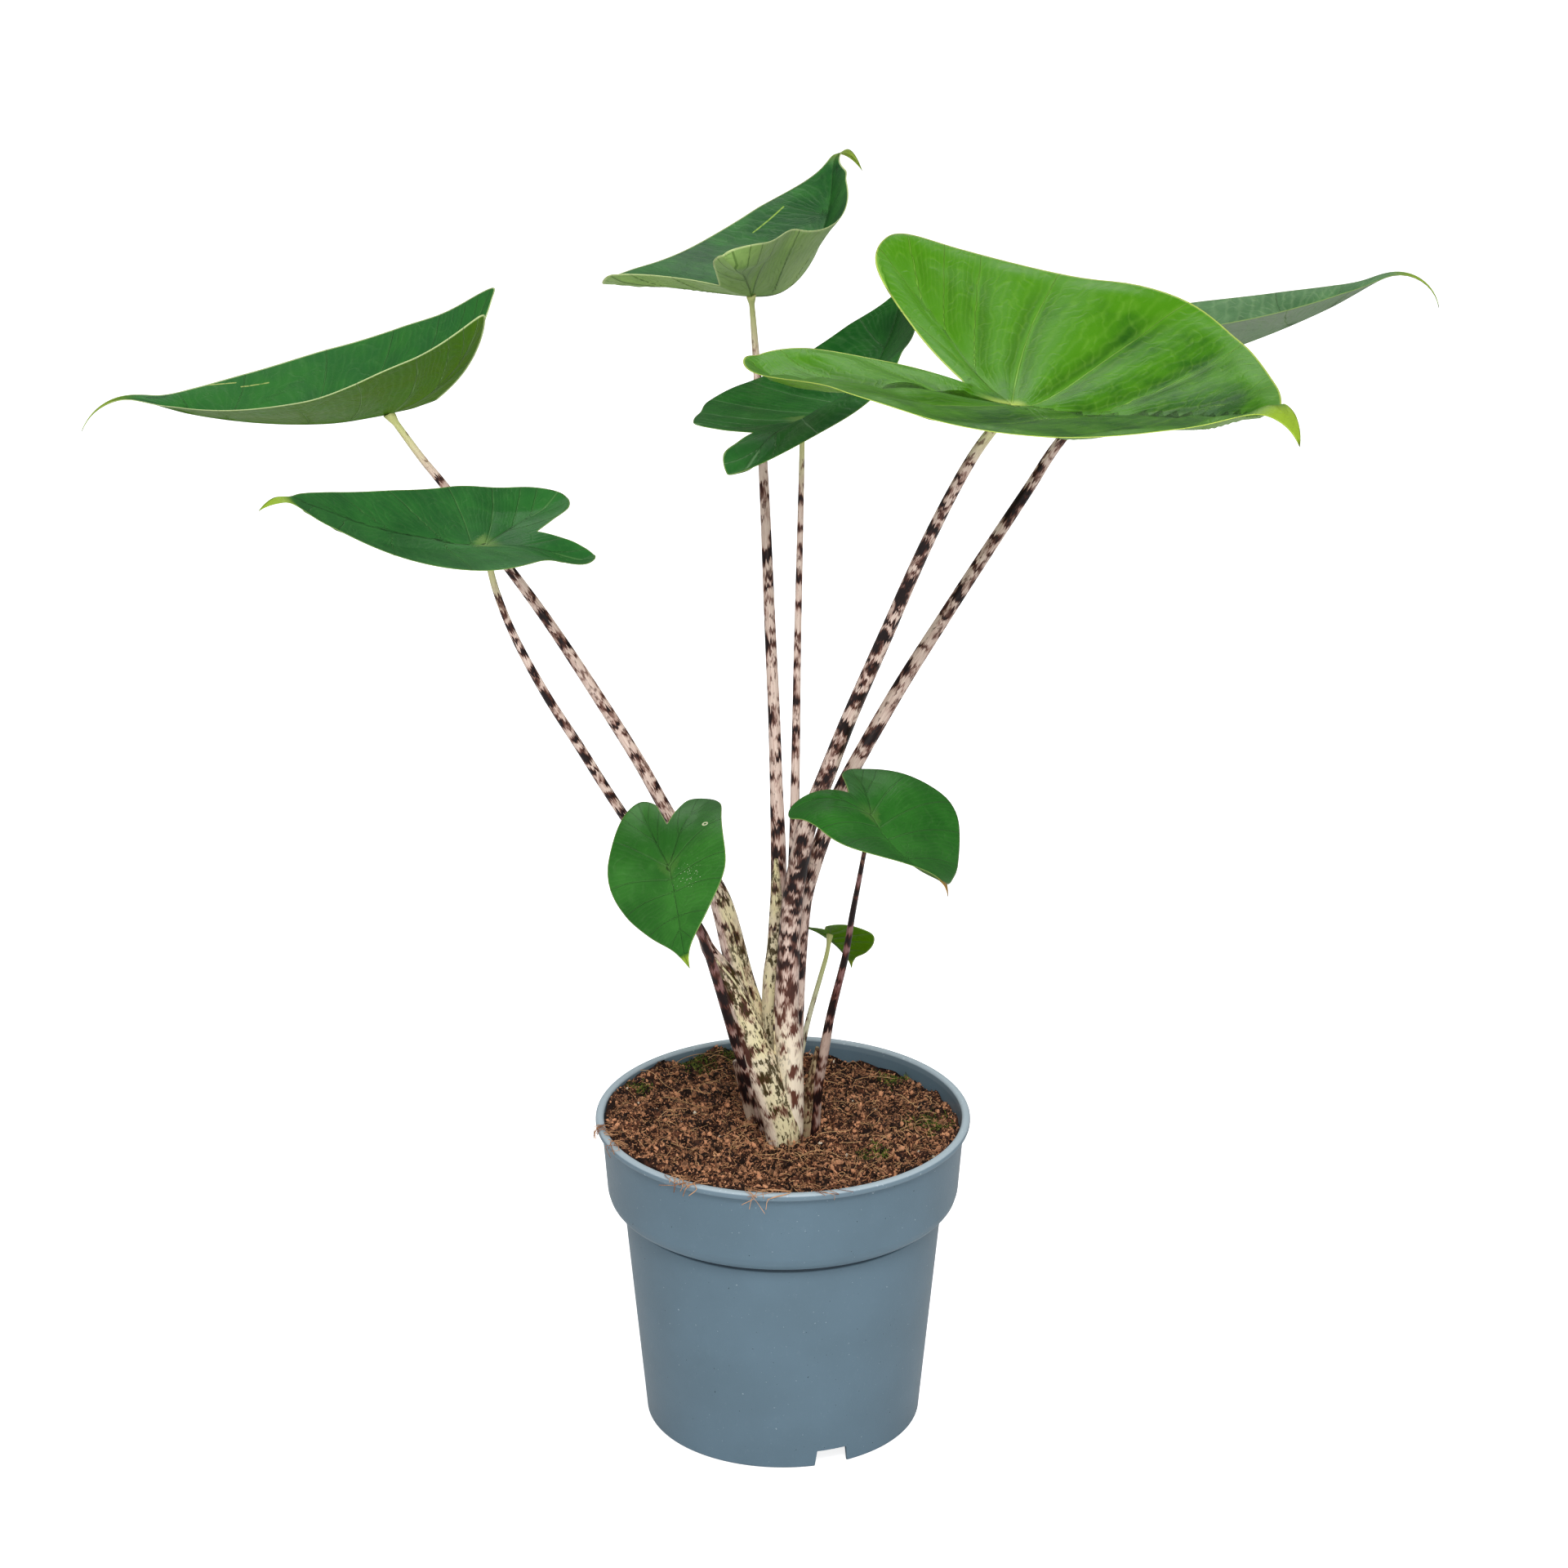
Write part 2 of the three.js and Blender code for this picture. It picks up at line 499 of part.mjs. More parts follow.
function pot() {
  let solid = solidOf(lathe([...POT_OUTSIDE, ...[...POT_INSIDE].reverse()]));
  for (const azimuth of NOTCH.azimuths) {
    solid = solid.subtract(notchCutter(azimuth));
  }
  for (let i = 0; i < DRAIN.count; i += 1) {
    const hole = new THREE.CylinderGeometry(DRAIN.radius, DRAIN.radius, 6, 10);
    hole.rotateX(Math.PI / 2).translate(DRAIN.pitchRadius, 0, FLOOR_UNDERSIDE + 1);
    hole.rotateZ((2 * Math.PI * (i + 0.5)) / DRAIN.count);
    solid = solid.subtract(solidOf(hole));
  }
  return solid;
}

// Compost

function soilHeight(x, y) {
  const radius = Math.hypot(x, y);
  const tilt = Math.cos(Math.atan2(y, x) - radians(SOIL_HIGH_SIDE));
  const edge = smooth(radius / BAND_TOP_RADIUS);
  const level = THREE.MathUtils.lerp(SOIL_LEVEL, SOIL_EDGE_LEVEL + SOIL_EDGE_TILT * tilt, edge);
  const ripples = 0.7 * Math.sin(0.21 * x + 0.34 * y) + 0.6 * Math.sin(0.37 * x - 0.19 * y + 2)
    + 0.5 * Math.sin(0.13 * x - 0.47 * y + 4);
  const lumps = SOIL_LUMPS.reduce((sum, lump) => {
    const away = Math.hypot(x - lump.x, y - lump.y) / lump.reach;
    return sum + lump.height * Math.exp(-away * away);
  }, 0);
  return level + ripples + lumps;
}

// The pot's inner wall moved inwards by the gap, below the height where the compost ends
function soilSide() {
  const wall = POT_INSIDE.slice(1, -2);
  return wall.map(([r, z], i) => {
    const [r0, z0] = POT_INSIDE[i];
    const [r2, z2] = POT_INSIDE[i + 2];
    const inwards = new THREE.Vector2(-(z2 - z0), r2 - r0).normalize().multiplyScalar(GAP * 1.15);
    return [r + inwards.x, z + inwards.y];
  });
}

function soilBody() {
  const foot = soilSide();
  const points = [new THREE.Vector3(0, 0, foot[0][1])];
  const spoke = (j) => (2 * Math.PI * j) / POT_SIDES;
  const direction = (j) => new THREE.Vector3(Math.sin(spoke(j)), -Math.cos(spoke(j)), 0);
  for (const [r, z] of foot) {
    for (let j = 0; j < POT_SIDES; j += 1) {
      points.push(direction(j).multiplyScalar(r).setZ(z));
    }
  }
  const wallRadius = (z) => BAND_FOOT_RADIUS - WALL - 2 * GAP
    + ((BAND_TOP_RADIUS - BAND_FOOT_RADIUS) * (z - BAND_FOOT)) / (RIM_TOP - BAND_FOOT);
  for (const reach of SOIL_RINGS) {
    for (let j = 0; j < POT_SIDES; j += 1) {
      const d = direction(j);
      const r = reach * wallRadius(SOIL_EDGE_LEVEL);
      const z = soilHeight(d.x * r, d.y * r);
      points.push(d.multiplyScalar(reach * wallRadius(z)).setZ(z));
    }
  }
  points.push(new THREE.Vector3(0, 0, soilHeight(0, 0)));
  const rows = foot.length + SOIL_RINGS.length;
  const last = points.length - 1;
  const triangles = [];
  for (let j = 0; j < POT_SIDES; j += 1) {
    const k = (j + 1) % POT_SIDES;
    triangles.push([0, 1 + k, 1 + j]);
    for (let row = 0; row < rows - 1; row += 1) {
      const low = 1 + row * POT_SIDES;
      const high = low + POT_SIDES;
      triangles.push([low + j, low + k, high + k], [low + j, high + k, high + j]);
    }
    const rim = 1 + (rows - 1) * POT_SIDES;
    triangles.push([rim + j, rim + k, last]);
  }
  return solidOf(closedGeometry(points, triangles));
}

// Corm with its roots, grown by the gap when it cuts the compost

function cormAndRoots(extra) {
  const top = FOOT - GAP;
  const { topRadius, height } = CORM;
  const profile = [
    [0, top - height - extra],
    [0.45 * topRadius + extra, top - 0.95 * height - extra],
    [0.8 * topRadius + extra, top - 0.75 * height - extra],
    [topRadius + extra, top - 0.4 * height],
    [topRadius + extra, top - 0.1 * height],
    [0.97 * topRadius + extra, top + extra],
    [0, top + extra],
  ];
  const outline = profile.map(([r, z]) => new THREE.Vector2(r, z));
  const body = new THREE.LatheGeometry(outline, 16).rotateX(Math.PI / 2);
  let solid = solidOf(body.translate(CORM.x, CORM.y, 0));
  for (let i = 0; i < ROOT.count; i += 1) {
    const angle = (2 * Math.PI * i) / ROOT.count + 0.3 * Math.sin(5 * i);
    const start = FOOT - 0.45 * CORM.height - 3 * (i % 3);
    const route = [0.55, 1, 1.9, 2.6].map((reach, step) => {
      const out = reach * CORM.topRadius;
      const turned = angle + 0.12 * step * Math.cos(3 * i);
      const radius = THREE.MathUtils.lerp(ROOT.startRadius, ROOT.endRadius, step / 3);
      const drop = ROOT.depth * (step / 3) ** 2 * (0.85 + 0.1 * Math.cos(2 * i));
      return [
        CORM.x + out * Math.cos(turned), CORM.y + out * Math.sin(turned), start - drop, radius,
      ];
    });
    solid = solid.add(tube(route, { sides: 5, extra, levelFoot: false }));
  }
  return solid;
}

// The whole object

function buildPlant() {
  const group = new THREE.Group();
  addMesh(group, 'pot', pot(), 0x687c8b, 0.45);
  addMesh(group, 'corm_and_roots', cormAndRoots(0), 0xa98f6d, 0.8);

  let compost = soilBody().subtract(cormAndRoots(GAP));
  const placed = [];
  for (const [name, route] of Object.entries(STALKS)) {
    const leaf = LEAVES[name];
    const fullRoute = leaf ? [...route, [...leaf.stalk, route.at(-1)[3] * 0.85]] : route;
    let stalk = tube(fullRoute);
    for (const grown of placed) {
      stalk = stalk.subtract(grown);
    }
    if (leaf) {
      stalk = stalk.subtract(blade(leaf, BLADE_THICKNESS + 2 * GAP));
      addMesh(group, `${name}_blade`, blade(leaf, BLADE_THICKNESS), leaf.green, 0.35);
    }
    const grown = tube(fullRoute, { extra: GAP });
    placed.push(grown);
    const [x, y, , radius] = route[0];
    const socket = tube([[x, y, FOOT - 2 * GAP, radius], ...fullRoute], { extra: GAP });
    compost = compost.subtract(socket);
    const dry = name === 'dry_sheath' || name === 'old_petiole_stub';
    const sheath = dry ? 'dry' : 'sheath';
    addMesh(group, leaf ? `${name}_petiole` : name, largestPiece(stalk),
      STALK_COLOURS[leaf ? 'petiole' : sheath], 0.55);
  }
  addMesh(group, 'soil', largestPiece(compost), 0x5a3524, 0.95);
  return group;
}

export default buildPlant();
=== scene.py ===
"""Dresses the potted zebra-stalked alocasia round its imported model.

Sizes in this file are millimetres unless a name says otherwise, and meshes are written in metres in
the part's frame: X to the right, Y away from the camera, Z up, origin under the middle of the pot.
"""

import logging
import math
from dataclasses import dataclass, field, replace
from enum import Enum
from typing import Any

import bmesh
import bpy
import numpy as np
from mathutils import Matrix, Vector


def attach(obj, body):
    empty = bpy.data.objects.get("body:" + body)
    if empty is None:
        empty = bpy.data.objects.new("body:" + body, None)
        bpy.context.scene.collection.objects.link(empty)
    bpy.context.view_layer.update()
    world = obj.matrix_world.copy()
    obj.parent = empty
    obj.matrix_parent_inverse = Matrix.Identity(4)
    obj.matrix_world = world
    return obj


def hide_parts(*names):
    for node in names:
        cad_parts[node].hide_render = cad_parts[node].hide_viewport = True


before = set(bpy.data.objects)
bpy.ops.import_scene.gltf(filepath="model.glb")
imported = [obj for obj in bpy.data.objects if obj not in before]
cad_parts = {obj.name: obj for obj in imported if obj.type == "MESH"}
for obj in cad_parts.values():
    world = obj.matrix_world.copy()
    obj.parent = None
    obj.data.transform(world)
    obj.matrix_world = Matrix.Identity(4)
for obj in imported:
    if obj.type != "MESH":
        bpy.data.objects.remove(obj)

LOG = logging.getLogger("alocasia")
MM = 0.001
Array = np.ndarray
Pair = tuple[float, float]
Place = tuple[float, float, float]
Rgb = tuple[int, int, int]
Route = tuple[tuple[float, float, float, float], ...]


# Small helpers


def paint(red: int, green: int, blue: int) -> tuple[float, float, float, float]:
    """A colour as seen on a screen, from 0 to 255, as the linear colour that a socket takes."""
    shares = [c / 255 for c in (red, green, blue)]
    linear = [c / 12.92 if c <= 0.04045 else ((c + 0.055) / 1.055) ** 2.4 for c in shares]
    return (*linear, 1.0)


def smooth(x: Array | float) -> Array:
    """Zero below 0, one above 1, and a soft step between."""
    x = np.clip(x, 0.0, 1.0)
    return x * x * (3.0 - 2.0 * x)


def unit(vectors: Array) -> Array:
    """The directions of vectors, one a row."""
    return vectors / np.maximum(np.linalg.norm(vectors, axis=1), 1e-9)[:, None]


def spline(corners: Array, per_span: int) -> Array:
    """A smooth line through points of any dimension.

    Args:
        corners: the points, one a row.
        per_span: how many points come out for each span.

    Returns:
        The line's points, from the first corner to the last.
    """
    p = np.asarray(corners, float)
    p = np.vstack([2 * p[0] - p[1], p, 2 * p[-1] - p[-2]])
    t = np.linspace(0, 1, per_span, endpoint=False)[:, None]
    spans = [
        0.5 * (2 * p[i] + (p[i + 1] - p[i - 1]) * t
               + (2 * p[i - 1] - 5 * p[i] + 4 * p[i + 1] - p[i + 2]) * t**2
               + (3 * p[i] - p[i - 1] - 3 * p[i + 1] + p[i + 2]) * t**3)
        for i in range(1, len(p) - 2)
    ]
    return np.vstack([*spans, p[-2:-1]])


def nearest_on(line: Array, points: Array) -> tuple[Array, Array]:
    """How far each point is from a line, and how far along the line its nearest place is."""
    start, step = line[:-1], np.diff(line, axis=0)
    length = np.maximum(np.linalg.norm(step, axis=1), 1e-9)
    offset = points[:, None, :] - start[None]
    t = np.clip((offset * step).sum(-1) / length**2, 0, 1)
    gap = np.linalg.norm(offset - t[..., None] * step, axis=-1)
    best = gap.argmin(1)
    rows = np.arange(len(points))
    before = np.concatenate([[0.0], np.cumsum(length)[:-1]])
    return gap[rows, best], before[best] + t[rows, best] * length[best]


def inside(points: Array, outline: Array) -> Array:
    """Which points lie inside a closed flat outline."""
    x, y = points[:, :1], points[:, 1:]
    (x0, y0), (x1, y1) = outline.T, np.roll(outline, -1, axis=0).T
    rise = np.where(y1 == y0, 1.0, y1 - y0)
    crossed = ((y0 > y) != (y1 > y)) & (x < x0 + (y - y0) * (x1 - x0) / rise)
    return crossed.sum(1) % 2 == 1


def wrap(rings: int, sides: int) -> list[list[int]]:
    """Four-cornered faces between rings of points, each ring joined to the next."""
    return [[i * sides + j, i * sides + (j + 1) % sides, (i + 1) * sides + (j + 1) % sides,
             (i + 1) * sides + j] for i in range(rings - 1) for j in range(sides)]


def ends(rings: int, sides: int) -> list[list[int]]:
    """The two faces that close a stack of rings."""
    return [list(range(sides))[::-1], [(rings - 1) * sides + j for j in range(sides)]]


def tube(line: Array, radius: Array | float, sides: int) -> tuple[Array, list[list[int]]]:
    """A closed tube along a line.

    Args:
        line: the points it follows.
        radius: its radius, the same all along or one number a point.
        sides: how many sides it has.

    Returns:
        Its points, and the corner numbers of its faces.
    """
    tangent = unit(np.gradient(line, axis=0))
    guide = np.eye(3)[np.abs(tangent).mean(0).argmin()]
    aside = unit(np.cross(tangent, guide))
    above = np.cross(tangent, aside)
    angle = np.linspace(0, 2 * np.pi, sides, endpoint=False)
    ring = aside[:, None] * np.cos(angle)[None, :, None] + above[:, None] * np.sin(angle)[None, :, None]
    girth = np.broadcast_to(radius, len(line))[:, None, None]
    points = (line[:, None] + ring * girth).reshape(-1, 3)
    return points, wrap(len(line), sides) + ends(len(line), sides)


def lattice(x: Array, y: Array, cell: float, seed: int) -> Array:
    """Soft random hills from -1 to 1 over a plane, a cell wide."""
    count = 160
    grid = np.random.default_rng(seed).uniform(-1, 1, (count, count))
    u, v = x / cell + count / 2, y / cell + count / 2
    i, j = np.floor(u).astype(int) % (count - 1), np.floor(v).astype(int) % (count - 1)
    a, b = smooth(u - np.floor(u)), smooth(v - np.floor(v))
    low = grid[i, j] * (1 - a) + grid[i + 1, j] * a
    high = grid[i, j + 1] * (1 - a) + grid[i + 1, j + 1] * a
    return low * (1 - b) + high * b


def new_object(name: str, mesh: bpy.types.Mesh) -> bpy.types.Object:
    """An object for a mesh, in the scene and at the origin."""
    made = bpy.data.objects.new(name, mesh)
    bpy.context.scene.collection.objects.link(made)
    return made


def write_mesh(
    name: str,
    points: Array,
    faces: list[list[int]],
    values: dict[str, Array] | None = None,
    finish: bpy.types.Material | None = None,
) -> bpy.types.Object:
    """Writes a closed mesh with the values that its finish reads.

    Args:
        name: the piece's name.
        points: its points in millimetres.
        faces: corner numbers of each face, turning left seen from outside.
        values: for each attribute, one number or three numbers a point.
        finish: its material.

    Returns:
        The new object.
    """
    mesh = bpy.data.meshes.new(name)
    mesh.from_pydata((np.asarray(points) * MM).tolist(), [], faces)
    for key, numbers in (values or {}).items():
        numbers = np.asarray(numbers, np.float32)
        wide = numbers.ndim == 2
        slot = mesh.attributes.new(key, "FLOAT_VECTOR" if wide else "FLOAT", "POINT")
        slot.data.foreach_set("vector" if wide else "value", numbers.ravel())
    mesh.polygons.foreach_set("use_smooth", [True] * len(faces))
    if finish:
        mesh.materials.append(finish)
    mesh.update()
    return new_object(name, mesh)


def settle(piece: bpy.types.Object, slot: str, *nodes: str) -> None:
    """Says what a finished piece rides on and which solids it stands for, and logs its triangles."""
    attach(piece, "root")
    if nodes:
        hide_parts(*nodes)
    count = sum(len(p.vertices) - 2 for p in piece.data.polygons)
    LOG.info("%s: %d triangles", piece.name, count)


# Nodes from formulas


class Signal:
    """An output socket that a formula can use: each operator adds the node that works it out."""

    def __init__(self, tree: "Tree", socket: bpy.types.NodeSocket) -> None:
        """Keeps the tree that new nodes go into, and the socket."""
        self.tree = tree
        self.socket = socket

    def math(self, operation: str, *others: Any, first: Any = None) -> "Signal":
        """A Math node on this signal and others, or on another value first and this one second."""
        terms = [self, *others] if first is None else [first, self]
        values = dict(enumerate(terms))
        return self.tree.node("ShaderNodeMath", {"operation": operation}, values)

    def __add__(self, other: Any) -> "Signal":
        """The sum."""
        return self.math("ADD", other)

    def __sub__(self, other: Any) -> "Signal":
        """This less the other."""
        return self.math("SUBTRACT", other)

    def __rsub__(self, other: Any) -> "Signal":
        """The other less this."""
        return self.math("SUBTRACT", first=other)

    def __mul__(self, other: Any) -> "Signal":
        """The product."""
        return self.math("MULTIPLY", other)

    def __truediv__(self, other: Any) -> "Signal":
        """The quotient."""
        return self.math("DIVIDE", other)

    def __pow__(self, other: Any) -> "Signal":
        """The power."""
        return self.math("POWER", other)

    def __abs__(self) -> "Signal":
        """The size without its sign."""
        return self.math("ABSOLUTE")

    def step(self, low: float, high: float) -> "Signal":
        """A soft step from 0 at low to 1 at high, or down if low is the greater."""
        settings = {"interpolation_type": "SMOOTHSTEP"}
        span = (low, high, 0.0, 1.0) if low < high else (high, low, 1.0, 0.0)
        return self.tree.node("ShaderNodeMapRange", settings, dict(enumerate((self, *span))))

    def parts(self) -> list["Signal"]:
        """The three numbers of a vector."""
        node = self.tree.node("ShaderNodeSeparateXYZ", values={0: self}).socket.node
        return [Signal(self.tree, s) for s in node.outputs]

    def scaled(self, *by: float) -> "Signal":
        """A vector with each of its parts multiplied."""
        values = {0: self, 1: by}
        return self.tree.node("ShaderNodeVectorMath", {"operation": "MULTIPLY"}, values)


class Tree:
    """A node tree that is written as formulas."""

    def __init__(self, tree: bpy.types.NodeTree) -> None:
        """Starts from an empty tree."""
        self.tree = tree
        tree.nodes.clear()

    def node(
        self,
        kind: str,
        settings: dict[str, Any] | None = None,
        values: dict[Any, Any] | None = None,
        output: int | str = 0,
    ) -> Signal | None:
        """Adds a node.

        Args:
            kind: Blender's type of node.
            settings: its properties, set first.
            values: a value or a Signal for each socket, by number or name.
            output: which of its outputs comes back.

        Returns:
            The chosen output, or nothing where the node has none.
        """
        made = self.tree.nodes.new(kind)
        for key, value in (settings or {}).items():
            setattr(made, key, value)
        for key, value in (values or {}).items():
            if isinstance(value, Signal):
                self.tree.links.new(value.socket, made.inputs[key])
            else:
                made.inputs[key].default_value = value
        return Signal(self, made.outputs[output]) if made.outputs else None

    def mix(self, share: Any, low: Any, high: Any) -> Signal:
        """A colour between two, by a share from 0 to 1."""
        settings = {"data_type": "RGBA"}
        return self.node("ShaderNodeMix", settings, {0: share, 6: low, 7: high}, 2)

    def noise(self, at: Signal, scale: float, detail: float = 3.0, seed: float = 0.0) -> Signal:
        """Cloudy noise from 0 to 1 over a place; seed moves it to another part of the cloud."""
        values = {"Vector": at, "W": seed, "Scale": scale, "Detail": detail}
        return self.node("ShaderNodeTexNoise", {"noise_dimensions": "4D"}, values)

    def attribute(self, name: str) -> Signal:
        """A value that the mesh carries, as a vector."""
        return self.node("ShaderNodeAttribute", {"attribute_name": name}, output="Vector")

    def place(self) -> Signal:
        """The place on the object, in millimetres."""
        at = self.node("ShaderNodeTexCoord", output="Object")
        return at.scaled(1000.0, 1000.0, 1000.0)


class Material(Tree):
    """A material that ends in one principled shader."""

    def __init__(self, name: str) -> None:
        """Starts an empty material of that name."""
        self.material = bpy.data.materials.new(name)
        self.material.use_nodes = True
        super().__init__(self.material.node_tree)

    def finish(
        self,
        colour: Any,
        roughness: Any,
        relief: Signal | None = None,
        depth: float = 0.2,
        fixed: dict[str, Any] | None = None,
        coat: Any = 0.0,
    ) -> bpy.types.Material:
        """Joins what was worked out to the shader.

        Args:
            colour: the base colour.
            roughness: from mirror 0 to chalk 1.
            relief: height of the fine relief, as a share of depth.
            depth: the relief's depth in millimetres.
            fixed: sockets that are the same all over.
            coat: share of the gloss coat.

        Returns:
            The finished material.
        """
        values = {"Base Color": colour, "Roughness": roughness, "Coat Weight": coat, **(fixed or {})}
        if relief is not None:
            bump = {"Strength": 1.0, "Distance": depth * MM, "Height": relief}
            values["Normal"] = self.node("ShaderNodeBump", values=bump)
        shader = self.node("ShaderNodeBsdfPrincipled", values=values)
        self.node("ShaderNodeOutputMaterial", values={"Surface": shader})
        return self.material


# Finishes


@dataclass(frozen=True)
class Scar:
    """A small mark on a blade's upper face: a healed scratch, or a ring where it has a radius."""

    start: Pair
    end: Pair
    width: float = 0.45
    ring: float = 0.0

    def mask(self, along: Signal, across: Signal) -> Signal:
        """Where the mark shows, from 0 to 1, on the flat blade."""
        du, dw = self.end[0] - self.start[0], self.end[1] - self.start[1]
        x, y = along - self.start[0], across - self.start[1]
        share = (x * du + y * dw) / max(du * du + dw * dw, 1e-6)
        share = share.math("MAXIMUM", 0.0).math("MINIMUM", 1.0)
        x, y = x - share * du, y - share * dw
        away = abs((x * x + y * y) ** 0.5 - self.ring)
        return away.step(self.width, self.width * 0.4)


@dataclass(frozen=True)
class LeafMarks:
    """Where a point lies on a blade, and how much it has of each vein and cloud."""

    flat: Signal
    along: Signal
    across: Signal
    upper: Signal
    phase: Signal
    gap: Signal
    run: Signal
    edge: Signal
    tip: Signal
    rib: Signal
    off: Signal
    line: Signal
    halo: Signal
    feather: Signal
    fine: Signal
    light: Signal
    patch: Signal
    grain: Signal


@dataclass(frozen=True)
class LeafFinish:
    """Living leaf tissue: green above, paler below, with veins, a pale margin line and a tip, and painted
    shade.

    The speckles are their middle on the flat blade and how far they spread, or 0 for none.
    """

    upper: Rgb = (34, 96, 36)
    mottle: Rgb = (50, 118, 44)
    under: Rgb = (84, 112, 50)
    vein: Rgb = (104, 152, 88)
    under_vein: Rgb = (112, 150, 84)
    margin: Rgb = (150, 176, 96)
    tip: Rgb = (150, 178, 52)
    rim_width: float = 0.5
    rim_share: float = 0.6
    vein_share: float = 0.45
    feather_share: float = 0.14
    # Share of painted shade in the dips beside the veins.
    vein_side_shade: float = 0.15
    back_glow: float = 0.0
    star: float = 0.4
    # Share of painted shade on the right half between its lobe rib and the midrib.
    right_shade: float = 0.0
    speckles: tuple[float, float, float] = (0.0, 0.0, 0.0)
    speckle: Rgb = (214, 224, 196)
    scars: tuple[Scar, ...] = ()
    scar: Rgb = (176, 190, 110)
    roughness: float = 0.4
    coat: float = 0.1
    seed: float = 0.0

    def marks(self, m: Material) -> LeafMarks:
        """Works out the marks from what the blade's mesh carries."""
        along, across, upper = m.attribute("flat").parts()
        phase, gap, run = m.attribute("vein").parts()
        edge, tip, rib = m.attribute("leaf").parts()
        flat = m.node("ShaderNodeCombineXYZ", values={0: along, 1: across})
        off = abs((phase + 0.5).math("FRACT") - 0.5) * gap
        wander = m.noise(flat, 0.09, 2.0, self.seed + 3) - 0.5
        feather = ((run + wander * 24.0 - off * 0.9) * 0.15).math("FRACT")
        feather = (abs(feather - 0.5) * 2.0).step(0.5, 1.0) * off.step(0.4, 2.5)
        feather = feather * m.noise(flat, 0.16, 2.0, self.seed + 13).step(0.35, 0.65)
        fine = (phase * 7.0 + wander * 2.0).math("FRACT")
        fine = (abs(fine - 0.5) * 2.0).step(0.4, 1.0) * gap.step(6.0, 14.0)
        cloud = m.noise(flat, 0.035, 3.0, self.seed)
        patch = m.noise(flat, 0.11, 4.0, self.seed + 7)
        glow = (along.step(40.0, -60.0) + edge.step(18.0, 2.0) * 0.6) * self.back_glow
        return LeafMarks(
            flat=flat, along=along, across=across, upper=upper, phase=phase, gap=gap, run=run,
            edge=edge, tip=tip, rib=rib, off=off, line=(off / rib).step(1.3, 0.2),
            halo=(off / rib).step(7.0, 0.0), feather=feather, fine=fine,
            light=cloud * 0.65 + patch * 0.35 + glow, patch=patch,
            grain=m.noise(m.place(), 0.9, 4.0, self.seed + 9))

    def above(self, m: Material, k: LeafMarks) -> Signal:
        """The upper face's colour."""
        vein = paint(*self.vein)
        # A darker copy of the upper green, used for painted shade.
        shaded_upper = paint(*(int(c * 0.55) for c in self.upper))
        top = m.mix(k.light.step(0.36, 0.68), paint(*self.upper), paint(*self.mottle))
        top = m.mix(k.grain.step(0.35, 0.75) * 0.12, top, paint(*self.mottle))
        # Painted shade: darker green in the dips beside the veins, fading out near the margin.
        beside = k.off.step(0.8, 2.6) * k.off.step(9.0, 3.0) * k.gap.step(6.0, 18.0)
        top = m.mix(beside * k.edge.step(4.0, 26.0) * self.vein_side_shade, top, shaded_upper)
        top = m.mix((k.feather * 0.6 + k.fine * 0.4) * self.feather_share, top, vein)
        top = m.mix(k.halo * 0.1 * self.vein_share, top, vein)
        top = m.mix(k.line * (k.rib.step(0.2, 0.8) * 0.65 + 0.35) * self.vein_share, top, vein)
        top = m.mix(k.run.step(9.0, 0.0) * self.star, top, paint(*self.margin))
        # Painted shade: the right half between its lobe rib and the midrib is darkened.
        if self.right_shade:
            top = m.mix(k.phase.step(13.8, 14.5) * self.right_shade, top, shaded_upper)
        for scar in self.scars:
            broken = m.noise(k.flat, 0.5, 2.0, self.seed + 17).step(0.34, 0.5)
            shown = scar.mask(k.along, k.across) * (broken * 0.7 + 0.3) * 0.9
            top = m.mix(shown, top, paint(*self.scar))
        if self.speckles[2]:
            u, w, spread = self.speckles
            x, y = k.along - u, k.across - w
            here = ((x * x + y * y) ** 0.5).step(spread, 0.0)
            dots = (m.noise(k.flat, 1.4, 1.0, self.seed + 19) + here * 0.1).step(0.74, 0.78)
            top = m.mix(dots * here.step(0.0, 0.2) * 0.8, top, paint(*self.speckle))
        rim = k.edge.step(self.rim_width, self.rim_width * 0.3) * self.rim_share
        return m.mix(rim, top, paint(*self.margin))

    def below(self, m: Material, k: LeafMarks) -> Signal:
        """The lower face's colour."""
        vein = paint(*self.under_vein)
        low = m.mix(k.light.step(0.36, 0.68) * 0.3, paint(*self.under), paint(*self.mottle))
        low = m.mix((k.fine * 0.6 + k.feather * 0.4) * 0.22, low, vein)
        low = m.mix(k.line * 0.6 + k.halo * 0.1, low, vein)
        rim = k.edge.step(self.rim_width * 1.5, 0.3) * self.rim_share
        return m.mix(rim, low, paint(*self.margin))

    def make(self, name: str) -> bpy.types.Material:
        """The material for one blade."""
        m = Material(name)
        k = self.marks(m)
        colour = m.mix(k.upper.step(0.4, 0.6), self.below(m, k), self.above(m, k))
        colour = m.mix(k.tip.step(0.1, 1.0) * 0.85, colour, paint(*self.tip))
        gloss = m.noise(k.flat, 0.2, 3.0, self.seed + 5)
        rough = gloss * 0.18 + (self.roughness - 0.06) + k.feather * 0.06
        relief = k.line * -1.2 + k.feather * -0.5 + k.fine * -0.3 + k.patch * 0.7 + k.grain * 0.4
        fixed = {"Coat Roughness": 0.34, "IOR": 1.45, "Specular IOR Level": 0.07}
        return m.finish(colour, rough, relief, 0.3, fixed, coat=k.upper * self.coat)


